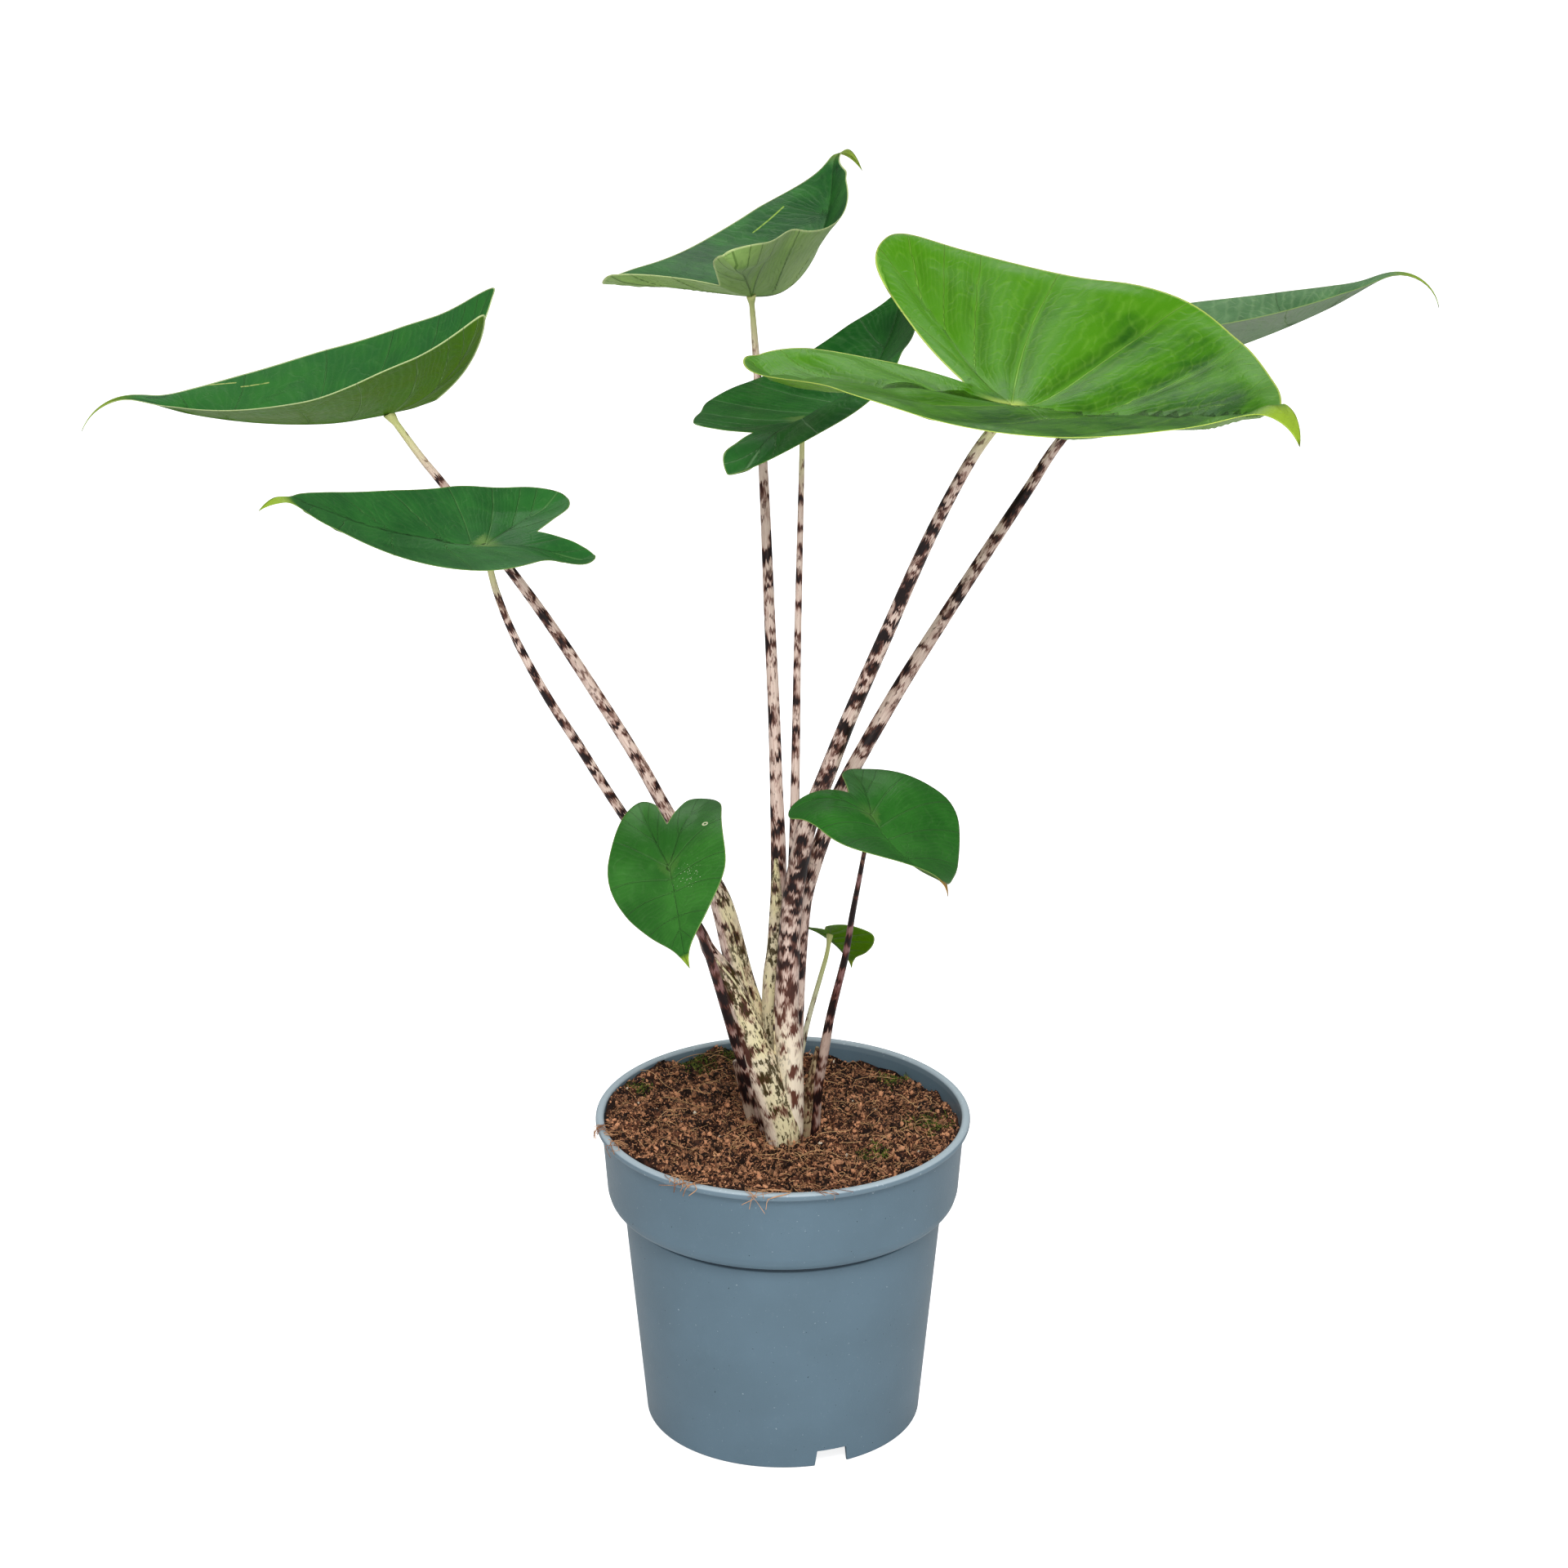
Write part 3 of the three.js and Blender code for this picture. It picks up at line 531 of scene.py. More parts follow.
@dataclass(frozen=True)
class StalkFinish:
    """Zebra-banded stalk tissue, with a green top and a speckled, greenish sheath."""

    pale: Rgb = (232, 210, 197)
    blush: Rgb = (160, 108, 92)
    brown: Rgb = (98, 48, 32)
    dark: Rgb = (26, 11, 12)
    green: Rgb = (204, 208, 136)
    sheath: Rgb = (228, 214, 184)
    tender: Rgb = (230, 220, 170)
    speckle: Rgb = (56, 44, 4)
    cream: Rgb = (252, 240, 214)
    fleck: Rgb = (84, 42, 28)
    band: float = 0.21
    cover: float = 0.45
    foot_brown: float = 0.0
    roughness: float = 0.45
    seed: float = 0.0

    def skin(self, m: Material, straight: Signal, fibre: Signal) -> Signal:
        """The colour between the bands: pale, cream at the foot, and greenish on a sheath and top."""
        green, sheath, _ = m.attribute("zone").parts()
        height = straight.parts()[2]
        thread = m.noise(straight.scaled(1.0, 1.0, 0.03), 4.5, 2.0, self.seed + 12)
        base = m.mix(fibre.step(0.4, 0.75) * 0.4, paint(*self.pale), paint(*self.blush))
        base = m.mix(thread.step(0.5, 0.7) * 0.45, base, paint(*self.blush))
        foot = height.step(100.0, 60.0) * (self.foot_brown * 0.6 + 0.3)
        base = m.mix(foot, base, paint(*self.cream))
        tender = m.noise(straight.scaled(1.0, 1.0, 0.5), 0.12, 2.0, self.seed + 15)
        young = tender.step(0.38, 0.68).math("MAXIMUM", height.step(75.0, 25.0) * 0.9)
        tissue = m.mix(young, paint(*self.sheath), paint(*self.tender))
        base = m.mix(sheath * 0.85, base, tissue)
        return m.mix(green, base, paint(*self.green))

    def make(self, name: str) -> bpy.types.Material:
        """The material for one stalk, in its straightened place."""
        m = Material(name)
        straight = m.attribute("straight")
        green, sheath, _ = m.attribute("zone").parts()
        height = straight.parts()[2]
        streak = m.noise(straight.scaled(1.0, 1.0, 0.06), 1.7, 2.0, self.seed + 1) - 0.5
        push = m.node("ShaderNodeCombineXYZ", values={2: streak * 11.0})
        sheared = m.node("ShaderNodeVectorMath", {"operation": "ADD"}, {0: straight, 1: push})
        bands = m.noise(sheared.scaled(0.85, 0.85, 1.0), self.band, 1.5, self.seed)
        fibre = m.noise(straight.scaled(1.0, 1.0, 0.04), 2.2, 4.0, self.seed + 4)
        broad = m.noise(straight, 0.03, 2.0, self.seed + 6) - 0.5
        foot = height.step(105.0, 65.0) * self.foot_brown * 0.09
        level = bands + (self.cover - 0.5) * 0.3 - green * 0.2 - sheath * 0.05 - foot
        level = level + (fibre - 0.5) * 0.1 + broad * 0.12
        colour = self.skin(m, straight, fibre)
        colour = m.mix(level.step(0.4, 0.54) * 0.5, colour, paint(*self.blush))
        colour = m.mix(level.step(0.46, 0.56) * 0.95, colour, paint(*self.brown))
        flecks = m.noise(straight.scaled(1.0, 1.0, 0.4), 0.62, 4.0, self.seed + 8)
        flecks = (flecks + (level - 0.45) * 0.5 - green * 0.05).step(0.52, 0.63)
        bare = (height.step(90.0, 180.0) * 0.75 + 0.25) * (1.0 - sheath * 0.5)
        colour = m.mix(flecks * bare * 0.8, colour, paint(*self.fleck))
        core = level.step(0.5, 0.61) * (1.0 - height.step(120.0, 70.0) * self.foot_brown)
        colour = m.mix(core, colour, paint(*self.dark))
        dots = m.noise(straight.scaled(1.0, 1.0, 0.45), 0.75, 3.0, self.seed + 7)
        dots = (dots + (fibre - 0.5) * 0.3 + broad * 0.5).step(0.49, 0.6) * sheath
        colour = m.mix(dots * 0.95, colour, paint(*self.speckle))
        relief = fibre * 0.8 + level.step(0.49, 0.56) * 0.2
        fixed = {"Specular IOR Level": 0.25}
        return m.finish(colour, fibre * 0.2 + (self.roughness - 0.1), relief, 0.16, fixed, 0.03)


@dataclass(frozen=True)
class PlasticFinish:
    """Satin blue-grey moulded plastic with specks, scuffs, wear on the rim, a painted highlight on the
    lip and painted shade in the grooves.

    Levels are the two heights, and radii the two distances, between which a zone sets in.
    """

    body: Rgb = (102, 125, 140)
    dull: Rgb = (98, 120, 134)
    # Colour of rubbed plastic, also used for the painted highlight on the lip.
    rub_and_highlight: Rgb = (190, 205, 214)
    speck: Rgb = (34, 40, 46)
    # Colour of the painted shade in the grooves.
    groove_shade: Rgb = (36, 46, 56)
    rim_levels: Pair = (143.5, 146.5)
    # Heights of the lip band that gets the painted highlight.
    lip_levels: Pair = (147.0, 147.7)
    bead_levels: Pair = (144.7, 145.3)
    bead_groove: float = 144.5
    band_groove: float = 105.4
    bead_radii: Pair = (82.0, 82.3)

    def make(self, name: str) -> bpy.types.Material:
        """The pot's material."""
        m = Material(name)
        at = m.place()
        height = at.parts()[2]
        cloud = m.noise(at, 0.03, 3.0)
        drag = m.noise(at.scaled(1.0, 1.0, 0.6), 0.5, 4.0, 2.0)
        specks = m.noise(at, 0.9, 1.0, 4.0).step(0.76, 0.79)
        dust = m.noise(at, 0.9, 1.0, 6.0).step(0.75, 0.79)
        colour = m.mix(cloud.step(0.3, 0.7), paint(*self.body), paint(*self.dull))
        colour = m.mix(drag.step(0.55, 0.85) * 0.04, colour, paint(*self.rub_and_highlight))
        colour = m.mix(specks * 0.8, colour, paint(*self.speck))
        rim = height.step(*self.rim_levels)
        lip = height.step(*self.lip_levels)
        wear = (m.noise(at, 0.6, 4.0, 8.0) + lip * 0.05).step(0.67, 0.72) * rim
        # Painted highlight mixed with wear: a bright line along the lip and a lighter face on the bead.
        worn_and_highlit = lip * 0.65 + height.step(*self.bead_levels) * 0.1
        colour = m.mix(worn_and_highlit, colour, paint(*self.rub_and_highlight))
        colour = m.mix(wear * 0.8 + dust * 0.5, colour, paint(*self.rub_and_highlight))
        x, y, _ = at.parts()
        outer = ((x * x + y * y) ** 0.5).step(*self.bead_radii)
        # Painted shade: a dark line along the grooves under the band and under the rim's bead.
        groove_shade = abs(height - self.band_groove).step(1.6, 0.9)
        groove_shade = groove_shade + abs(height - self.bead_groove).step(0.7, 0.2) * outer * 0.8
        colour = m.mix(groove_shade * 0.8, colour, paint(*self.groove_shade))
        rough = drag * 0.12 + 0.34 + wear * 0.1
        relief = m.noise(at, 1.6, 3.0, 9.0) + drag * 0.3
        return m.finish(colour, rough, relief, 0.05, {"Specular IOR Level": 0.17})


@dataclass(frozen=True)
class SoilFinish:
    """Damp coir: each crumb and fibre has its own shade from its tint."""

    dark: Rgb = (52, 26, 17)
    light: Rgb = (148, 88, 62)
    seed: float = 0.0

    def make(self, name: str) -> bpy.types.Material:
        """The material of the ground, crumbs or fibres."""
        m = Material(name)
        at = m.place()
        tint = m.node("ShaderNodeAttribute", {"attribute_name": "tint"}, output="Fac")
        cloud = m.noise(at, 0.15, 3.0, self.seed)
        grain = m.noise(at, 1.4, 4.0, self.seed + 2)
        share = tint * 0.85 + (cloud - 0.5) * 1.8 + (grain - 0.5) * 0.6
        colour = m.mix(share.step(0.05, 0.9), paint(*self.dark), paint(*self.light))
        fixed = {"Specular IOR Level": 0.2}
        return m.finish(colour, grain * 0.2 + 0.72, grain, 0.3, fixed)


@dataclass(frozen=True)
class CormFinish:
    """Dull pale corm and roots with brown rings."""

    pale: Rgb = (168, 140, 108)
    ring: Rgb = (104, 78, 56)
    stain: Rgb = (84, 62, 44)

    def make(self, name: str) -> bpy.types.Material:
        """The corm's material."""
        m = Material(name)
        at = m.place()
        rings = m.noise(at.scaled(0.2, 0.2, 1.0), 0.5, 3.0)
        grain = m.noise(at, 1.2, 4.0, 3.0)
        colour = m.mix(rings.step(0.4, 0.65), paint(*self.pale), paint(*self.ring))
        colour = m.mix(grain.step(0.5, 0.8) * 0.5, colour, paint(*self.stain))
        return m.finish(colour, grain * 0.2 + 0.65, grain, 0.3)


# Leaves


@dataclass(frozen=True)
class Fineness:
    """How finely a blade is divided."""

    per_span: int
    rings: int


class Detail(Enum):
    """The two sizes of blade mesh."""

    LARGE = Fineness(9, 40)
    SMALL = Fineness(6, 26)


@dataclass
class Leaf:
    """One blade: its place, flat outline, folds and bends.

    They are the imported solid's, but for wider drip tips and for the lobes of the top, large right
    and centre blades, which follow the photograph more closely. Pairs are for the half left of the
    heading and the half right of it. Folds and turns are in degrees, and bends and curls are in
    radians over the blade's length.
    """

    name: str
    stalk: Place
    heading: float
    pitch: float
    roll: float
    twist: float
    length: float
    drip_tip: float
    sinus: float
    belly: float
    lobe_bulge: float | Pair
    half_width: Pair
    lobe_length: Pair
    lobe_spread: Pair
    front_fold: Pair
    back_fold: Pair
    front_curl: Pair
    back_curl: Pair
    front_bend: float
    back_bend: float
    tip_bend: float
    lobe_lift: Pair
    finish: LeafFinish = field(default_factory=LeafFinish)
    detail: Detail = Detail.LARGE
    midrib: tuple[Pair, ...] = ()
    lobe_ribs: tuple[tuple[Pair, ...], ...] = ((), ())
    thickness: float = 0.56
    quilt: float = 0.5
    crease: float = 1.2
    crease_width: float = 12.0
    crease_blend: float = 0.7
    tip_girth: float = 1.0

    # Side veins: the share of the way along their trunk, and their end in spans of the margin
    LATERALS = ((0.84, 2.25), (0.68, 3.05), (0.5, 3.95), (0.3, 4.95), (0.11, 6.05), (0.0, 7.1))
    OUTER_LATERALS = ((0.35, 7.75), (0.62, 8.25))
    LOBE_RIB_END = 8.75
    INNER_LATERALS = ((0.62, 9.6), (0.32, 10.7))

    def margin(self, half: int, per_span: int) -> Array:
        """One half's flat margin, from the drip tip round the lobe to the sinus."""
        length, tip, sinus, belly = self.length, self.drip_tip, self.sinus, self.belly
        width, lobe = self.half_width[half], self.lobe_length[half]
        spread, bulge = self.lobe_spread[half], float(np.resize(self.lobe_bulge, 2)[half]) * lobe
        line = spline([
            (length + tip, 0.0),
            (length + 0.45 * tip, 0.012 * length * self.tip_girth),
            (0.98 * length, (0.045 * width + 0.01 * length) * (0.5 + 0.5 * self.tip_girth)),
            (0.86 * length, (0.27 + 0.25 * belly) * width),
            (0.62 * length, (0.62 + 0.25 * belly) * width),
            (0.3 * length, (0.92 + 0.12 * belly) * width),
            (0.0, width),
            (-0.42 * lobe, 0.49 * width + 0.5 * spread + 0.25 * bulge),
            (-0.8 * lobe, spread + 0.42 * bulge),
            (-lobe, spread + 0.08 * bulge),
            (-0.93 * lobe, spread - 0.34 * bulge),
            (-0.465 * lobe - 0.5 * sinus, 0.46 * (spread - 0.34 * bulge)),
            (-sinus, 0.0),
        ], per_span)
        line[:, 1] = np.maximum(line[:, 1], 0.0)
        return line

    def axes(self) -> Array:
        """The blade's forward, across and upward directions."""
        heading, pitch, roll = map(math.radians, (self.heading, self.pitch, self.roll))
        forward = np.array([math.cos(heading) * math.cos(pitch),
                            math.sin(heading) * math.cos(pitch), math.sin(pitch)])
        level = np.array([-math.sin(heading), math.cos(heading), 0.0])
        upright = np.cross(forward, level)
        across = level * math.cos(roll) + upright * math.sin(roll)
        return np.array([forward, across, np.cross(forward, across)])

    def spine(self, u: Array) -> tuple[Array, Array, Array]:
        """How far forward, how high and at what slope the midrib is at each distance."""
        length = self.length
        us = np.linspace(-1.3 * max(self.lobe_length) - 1, length + self.drip_tip + 1, 800)
        bend = np.where(us >= 0, self.front_bend, self.back_bend)
        bend = bend + self.tip_bend * smooth((us / length - 0.9) / 0.12)
        step = us[1] - us[0]

        def total(rate: Array) -> Array:
            """The running sum of a rate, zero at the stalk."""
            run = np.concatenate([[0.0], np.cumsum(0.5 * (rate[1:] + rate[:-1]) * step)])
            return run - np.interp(0.0, us, run)

        slope = -total(bend / length)
        return tuple(np.interp(u, us, v) for v in (total(np.cos(slope)), total(np.sin(slope)), slope))

    def shape(self, flat: Array) -> Array:
        """Places points of the flat blade, (forward, left of the midrib), in the part's frame."""
        u, w = flat.T
        half = (w < 0).astype(int)
        v = np.abs(w)
        length = self.length

        def pick(pair: Pair) -> Array:
            """The value of the half that each point is on."""
            return np.array(pair, float)[half]

        back = smooth(0.5 - 2 * u / length)
        fade = 1 - smooth((u / length - 0.8) / 0.2)
        fold = np.radians(pick(self.front_fold) * (1 - back) + pick(self.back_fold) * back)
        fold = fold * (0.35 + 0.65 * fade)
        curl = (pick(self.front_curl) * (1 - back) + pick(self.back_curl) * back) * fade / length
        curl = np.where(np.abs(curl) < 1e-6, 1e-6, curl)
        out = (np.sin(fold + curl * v) - np.sin(fold)) / curl
        lobe = pick(self.lobe_length)
        lift = pick(self.lobe_lift) * lobe * smooth(-u / lobe)
        lift = lift * np.clip(v / pick(self.lobe_spread), 0, 1)
        rise = (np.cos(fold) - np.cos(fold + curl * v)) / curl + lift
        across = np.where(half == 0, out, -out)
        turn = np.radians(self.twist) * u / length
        y = across * np.cos(turn) - rise * np.sin(turn)
        h = across * np.sin(turn) + rise * np.cos(turn)
        forward, height, slope = self.spine(u)
        local = np.stack([forward - np.sin(slope) * h, y, height + np.cos(slope) * h], 1)
        return np.array(self.stalk) + local @ self.axes()

    def veins(self) -> list[tuple[Array, float]]:
        """The main veins in their order round the stalk, each from the stalk out to the margin.

        Returns:
            For each vein its flat line, and its half width where it starts.
        """
        middle = np.array([(0.0, 0.0), *self.midrib, (self.length + self.drip_tip, 0.0)])
        middle = spline(middle, 8)
        sides: list[list[tuple[Array, float]]] = []
        for half, sign in ((0, 1.0), (1, -1.0)):
            rim = self.margin(half, 10) * (1.0, sign)

            def at(place: float) -> Array:
                """The point of the margin at a place counted in spans."""
                return rim[int(round(place * 10))]

            def reach(trunk: Array, share: float, end: Array, bow: float) -> Array:
                """A vein that leaves a trunk part of the way along and bows out to its end."""
                index = int(round(share * (len(trunk) - 1)))
                start, path = trunk[index], trunk[: index + 1]
                ahead = np.array([1.0, 0.0])
                pull = 0.45 * start + 0.55 * end - ahead * bow * np.linalg.norm(end - start)
                t = np.linspace(0, 1, 12)[:, None]
                curve = (1 - t) ** 2 * start + 2 * t * (1 - t) * pull + t**2 * end
                beyond = curve[-1] + (curve[-1] - curve[-2]) * 0.6
                return np.vstack([path, curve[1:], beyond])

            rib = self.lobe_ribs[half] or (tuple(0.5 * at(self.LOBE_RIB_END) * (1.0, 0.94)),)
            lobe = spline(np.array([(0.0, 0.0), *rib, at(self.LOBE_RIB_END)]), 8)
            group = [(reach(middle, s, at(e), 0.12), 0.5) for s, e in self.LATERALS]
            group += [(reach(lobe, s, at(e), 0.02), 0.4) for s, e in self.OUTER_LATERALS]
            group.append((lobe, 0.75))
            group += [(reach(lobe, s, at(e), -0.1), 0.35) for s, e in self.INNER_LATERALS]
            sides.append(group)
        return [(middle, 1.0), *sides[0], *reversed(sides[1])]

    def trunk_gap(self, flat: Array) -> Array:
        """How far each flat point is from the midrib or a lobe's rib."""
        lines = [line for line, width in self.veins() if width >= 0.75]
        return np.min([nearest_on(line, flat)[0] for line in lines], axis=0)

    def venation(self, flat: Array) -> tuple[Array, Array, Array, Array]:
        """Where each flat point lies among the veins.

        Returns:
            A phase that is whole on each vein, the width between the two veins beside the point,
            the distance along them, and the half width of the nearer one.
        """
        lines = self.veins()
        gaps, runs = zip(*(nearest_on(line, flat) for line, _ in lines))
        gaps, runs = np.array(gaps), np.array(runs)
        count = len(lines)
        nearest = gaps.argmin(0)
        low, high = nearest.copy(), nearest.copy()
        for k in range(count):
            following = (k + 1) % count
            first, second = lines[k][0], lines[following][0]
            inner = inside(flat, np.vstack([first, second[::-1]]))
            low[inner], high[inner] = k, following
        rows = np.arange(len(flat))
        one, two = gaps[low, rows], gaps[high, rows]
        room = np.maximum(one + two, 1e-6)
        share = np.where(low == high, 0.0, one / room)
        phase = low + share
        run = runs[low, rows] * (1 - share) + runs[high, rows] * share
        widths = np.array([w for _, w in lines])
        near = np.where(share < 0.5, low, high)
        fade = 1 - 0.65 * smooth(run / (self.length * 1.1))
        return phase, room, run, widths[near] * fade

    def fan(self) -> tuple[Array, Array]:
        """The flat blade's points, in rings that grow from the stalk to the margin, and its margin."""
        fine = self.detail.value
        left, right = (self.margin(h, fine.per_span) for h in (0, 1))
        rim = np.vstack([left, (right * (1, -1))[::-1][1:-1]])
        reach = np.linspace(0, 1, fine.rings + 1)[1:]
        reach = 1 - (1 - reach) ** 1.15
        flat = np.vstack([[(0.0, 0.0)], (reach[:, None, None] * rim[None]).reshape(-1, 2)])
        side = np.where(np.abs(flat[:, 1]) < 1e-9, 1e-9, flat[:, 1])
        right_half = np.arange(len(flat) - 1) % len(rim) >= len(left)
        side[1:] = np.where(right_half & (np.abs(side[1:]) <= 1e-9), -1e-9, side[1:])
        flat[:, 1] = side
        return flat, rim

    def build(self) -> bpy.types.Object:
        """The blade's mesh: a fan of spokes round the stalk, with both faces and a rounded edge."""
        flat, rim = self.fan()
        spokes, count = len(rim), len(flat)
        phase, room, run, rib = self.venation(flat)
        edge, _ = nearest_on(np.vstack([rim, rim[:1]]), flat)
        edge[-spokes:] = 0.0
        share = np.abs((phase + 0.5) % 1 - 0.5)
        swell = np.sin(np.pi * np.clip(share, 0, 0.5)) ** 1.3 * smooth(room / 26)
        swell = swell * smooth(edge / 9) * smooth(run / 18)
        valley = self.crease * np.exp(-self.trunk_gap(flat) / self.crease_width) * smooth(edge / 14)
        valley = valley * smooth(np.hypot(*flat.T) / (0.25 * self.length))
        normal = self.normals(flat)
        centre = self.shape(flat) + normal * (self.quilt * swell - valley)[:, None]
        thick = self.thickness * (0.45 + 0.55 * smooth(edge / 3.0))
        line = np.exp(-((share * room / (rib * 1.9 + 0.25)) ** 2)) * smooth(edge / 6)
        ridge = line * (rib * 1.15)
        upper = centre + normal * (thick * 0.5 - line * rib * 0.28)[:, None]
        lower = centre - normal * (thick * 0.5 + ridge)[:, None]
        tip = smooth((flat[:, 0] - 0.93 * self.length) / (0.9 * self.drip_tip))
        top = np.concatenate([np.ones(count), np.zeros(count)])
        values = {
            "flat": np.column_stack([np.vstack([flat, flat]), top]),
            "vein": np.column_stack([np.tile(v, 2) for v in (phase, room, run)]),
            "leaf": np.column_stack([np.tile(v, 2) for v in (edge, tip, rib)]),
        }
        faces = self.faces(spokes, self.detail.value.rings, count)
        finish = self.finish.make(f"leaf_{self.name}")
        return write_mesh(f"leaf_{self.name}", np.vstack([upper, lower]), faces, values, finish)

    def normals(self, flat: Array) -> Array:
        """The upward direction of the shaped blade at each flat point, rounded over the midrib."""
        step, rounded = 0.05, 3.0
        sign = np.where(flat[:, 1] < 0, -1.0, 1.0)

        def facing(at: Array, sign: Array) -> Array:
            """The upward direction at points, from their neighbours ahead and on the outer side."""
            out = np.column_stack([np.zeros(len(at)), sign * step])
            ahead = self.shape(at + (step, 0.0)) - self.shape(at - (step, 0.0))
            across = (self.shape(at + out) - self.shape(at)) * sign[:, None]
            return unit(np.cross(ahead, across))

        here, opposite = facing(flat, sign), facing(flat * (1.0, -1.0), -sign)
        blend = (1 - smooth(np.abs(flat[:, 1]) / rounded))[:, None] * self.crease_blend
        return unit(here * (1 - blend) + unit(here + opposite) * blend)

    @staticmethod
    def faces(spokes: int, rings: int, below: int) -> list[list[int]]:
        """Faces of both sides of a fan and of the edge between them.

        Args:
            spokes: points on each ring.
            rings: how many rings there are.
            below: how many points lie before the lower face's.

        Returns:
            The corner numbers of each face.
        """
        faces: list[list[int]] = []
        last = 1 + (rings - 1) * spokes
        for j in range(spokes):
            k = (j + 1) % spokes
            faces.append([0, 1 + j, 1 + k])
            faces.append([below, below + 1 + k, below + 1 + j])
            for ring in range(rings - 1):
                a = 1 + ring * spokes
                quad = [a + j, a + spokes + j, a + spokes + k, a + k]
                faces.append(quad)
                faces.append([below + c for c in reversed(quad)])
            faces.append([last + k, last + j, below + last + j, below + last + k])
        return faces


# Stalks


@dataclass(frozen=True)
class Zone:
    """Part of a stalk's skin: between two heights, and round a direction from the camera side."""

    low: float
    high: float
    centre: float
    spread: float
    amount: float = 1.0


@dataclass
class Stalk:
    """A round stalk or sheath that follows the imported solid's route from the soil up."""

    name: str
    route: Route
    finish: StalkFinish
    blade: Leaf | None = None
    margins: tuple[tuple[Pair, ...], ...] = ()
    green_top: float = 40.0
    sheath: tuple[Zone, ...] = ()
    sides: int = 28
    slot: str = "stalk_tissue"
    grooves: float = 0.05
    groove_count: int = 7
    top_reach: float = 14.0
    top_gap: float = 0.15
    margin_radius: float = 0.5

    MARGIN_FINISH = StalkFinish(pale=(232, 222, 180), blush=(176, 158, 116), cover=0.3, seed=51.0)

    def line(self) -> Array:
        """The centre line with its radius, finely divided."""
        route = list(self.route)
        if self.blade:
            route.append((*self.blade.stalk, route[-1][3] * 0.85))
        fine = spline(np.array(route), 9)
        if self.blade:
            left = np.linalg.norm(fine[:, :3] - fine[-1, :3], axis=1)
            fine[:, 3] += fine[-1, 3] * 0.9 * (1 - smooth(left / 6.0))
        return fine

    def build(self) -> bpy.types.Object:
        """The stalk's mesh, closed at both ends."""
        line = self.line()
        centre, radius = line[:, :3], np.maximum(line[:, 3], 0.25)
        tangent = unit(np.gradient(centre, axis=0))
        ahead = unit(np.array([0.0, -1.0, 0.0]) - tangent * -tangent[:, 1:2])
        aside = np.cross(tangent, ahead)
        angle = np.linspace(0, 2 * np.pi, self.sides, endpoint=False)
        run = np.concatenate([[0], np.cumsum(np.linalg.norm(np.diff(centre, axis=0), axis=1))])
        ripple = 1 - self.grooves * (0.5 + 0.5 * np.cos(angle * self.groove_count + 0.6)) * 0.5
        reach = radius[:, None] * ripple[None]
        points = (centre[:, None] + reach[..., None]
                  * (ahead[:, None] * np.cos(angle)[None, :, None]
                     + aside[:, None] * np.sin(angle)[None, :, None]))
        if self.blade:
            points = self.under_blade(points.reshape(-1, 3)).reshape(points.shape)
        rings = len(line)
        straight = np.stack([reach * np.sin(angle), -reach * np.cos(angle),
                             np.repeat(run[:, None], self.sides, 1)], -1)
        height = np.repeat(centre[:, 2:3], self.sides, 1)
        turn = np.repeat(np.degrees(angle)[None], rings, 0)
        left = run[-1] - run
        green = np.repeat((1 - smooth(left / self.green_top))[:, None], self.sides, 1)
        if not self.blade:
            green = green * 0
        zone = np.stack([green, self.amount(self.sheath, height, turn), np.zeros_like(green)], -1)
        faces = wrap(rings, self.sides) + ends(rings, self.sides)
        values = {"straight": straight.reshape(-1, 3), "zone": zone.reshape(-1, 3)}
        finish = self.finish.make(f"stalk_{self.name}")
        return write_mesh(f"stalk_{self.name}", points.reshape(-1, 3), faces, values, finish)

    def under_blade(self, points: Array) -> Array:
        """Holds the stalk's top under the blade that it carries."""
        axes, start = self.blade.axes(), np.array(self.blade.stalk)
        local = (points - start) @ axes.T
        near = np.linalg.norm(local, axis=1) < self.top_reach
        flat = np.where(np.abs(local[near, :2]) < 1e-6, 1e-6, local[near, :2])
        roof = ((self.blade.shape(flat) - start) @ axes.T)[:, 2] - self.top_gap
        local[near, 2] = np.minimum(local[near, 2], roof)
        return start + local @ axes

    def edges(self) -> list[bpy.types.Object]:
        """The thin pale margins of the sheath, as raised strips along the stalk."""
        line = self.line()
        strips = []
        for count, margin in enumerate(self.margins, 1):
            height, turn = spline(np.array(margin), 8).T
            order = np.argsort(line[:, 2])
            x, y, r = (np.interp(height, line[order, 2], line[order, c]) for c in (0, 1, 3))
            angle = np.radians(turn)
            path = np.column_stack([x + r * np.sin(angle), y - r * np.cos(angle), height])
            place = np.arange(len(path))
            taper = np.minimum(1.0, 0.25 + np.minimum(place, place[::-1]) / 6)
            points, faces = tube(path, self.margin_radius * taper, 8)
            name = f"sheath_margin_{self.name}_{count}"
            values = {"straight": points, "zone": np.zeros_like(points)}
            finish = self.MARGIN_FINISH.make(name)
            strips.append(write_mesh(name, points, faces, values, finish))
        return strips

    @staticmethod
    def amount(zones: tuple[Zone, ...], height: Array, turn: Array) -> Array:
        """How much of some zones each point has, from 0 to 1."""
        total = np.zeros_like(height)
        for z in zones:
            off = np.abs((turn - z.centre + 180) % 360 - 180)
            here = smooth((height - z.low) / 12) * smooth((z.high - height) / 12)
            total = np.maximum(total, z.amount * here * smooth((z.spread - off) / 18 + 0.5))
        return total


# Pot


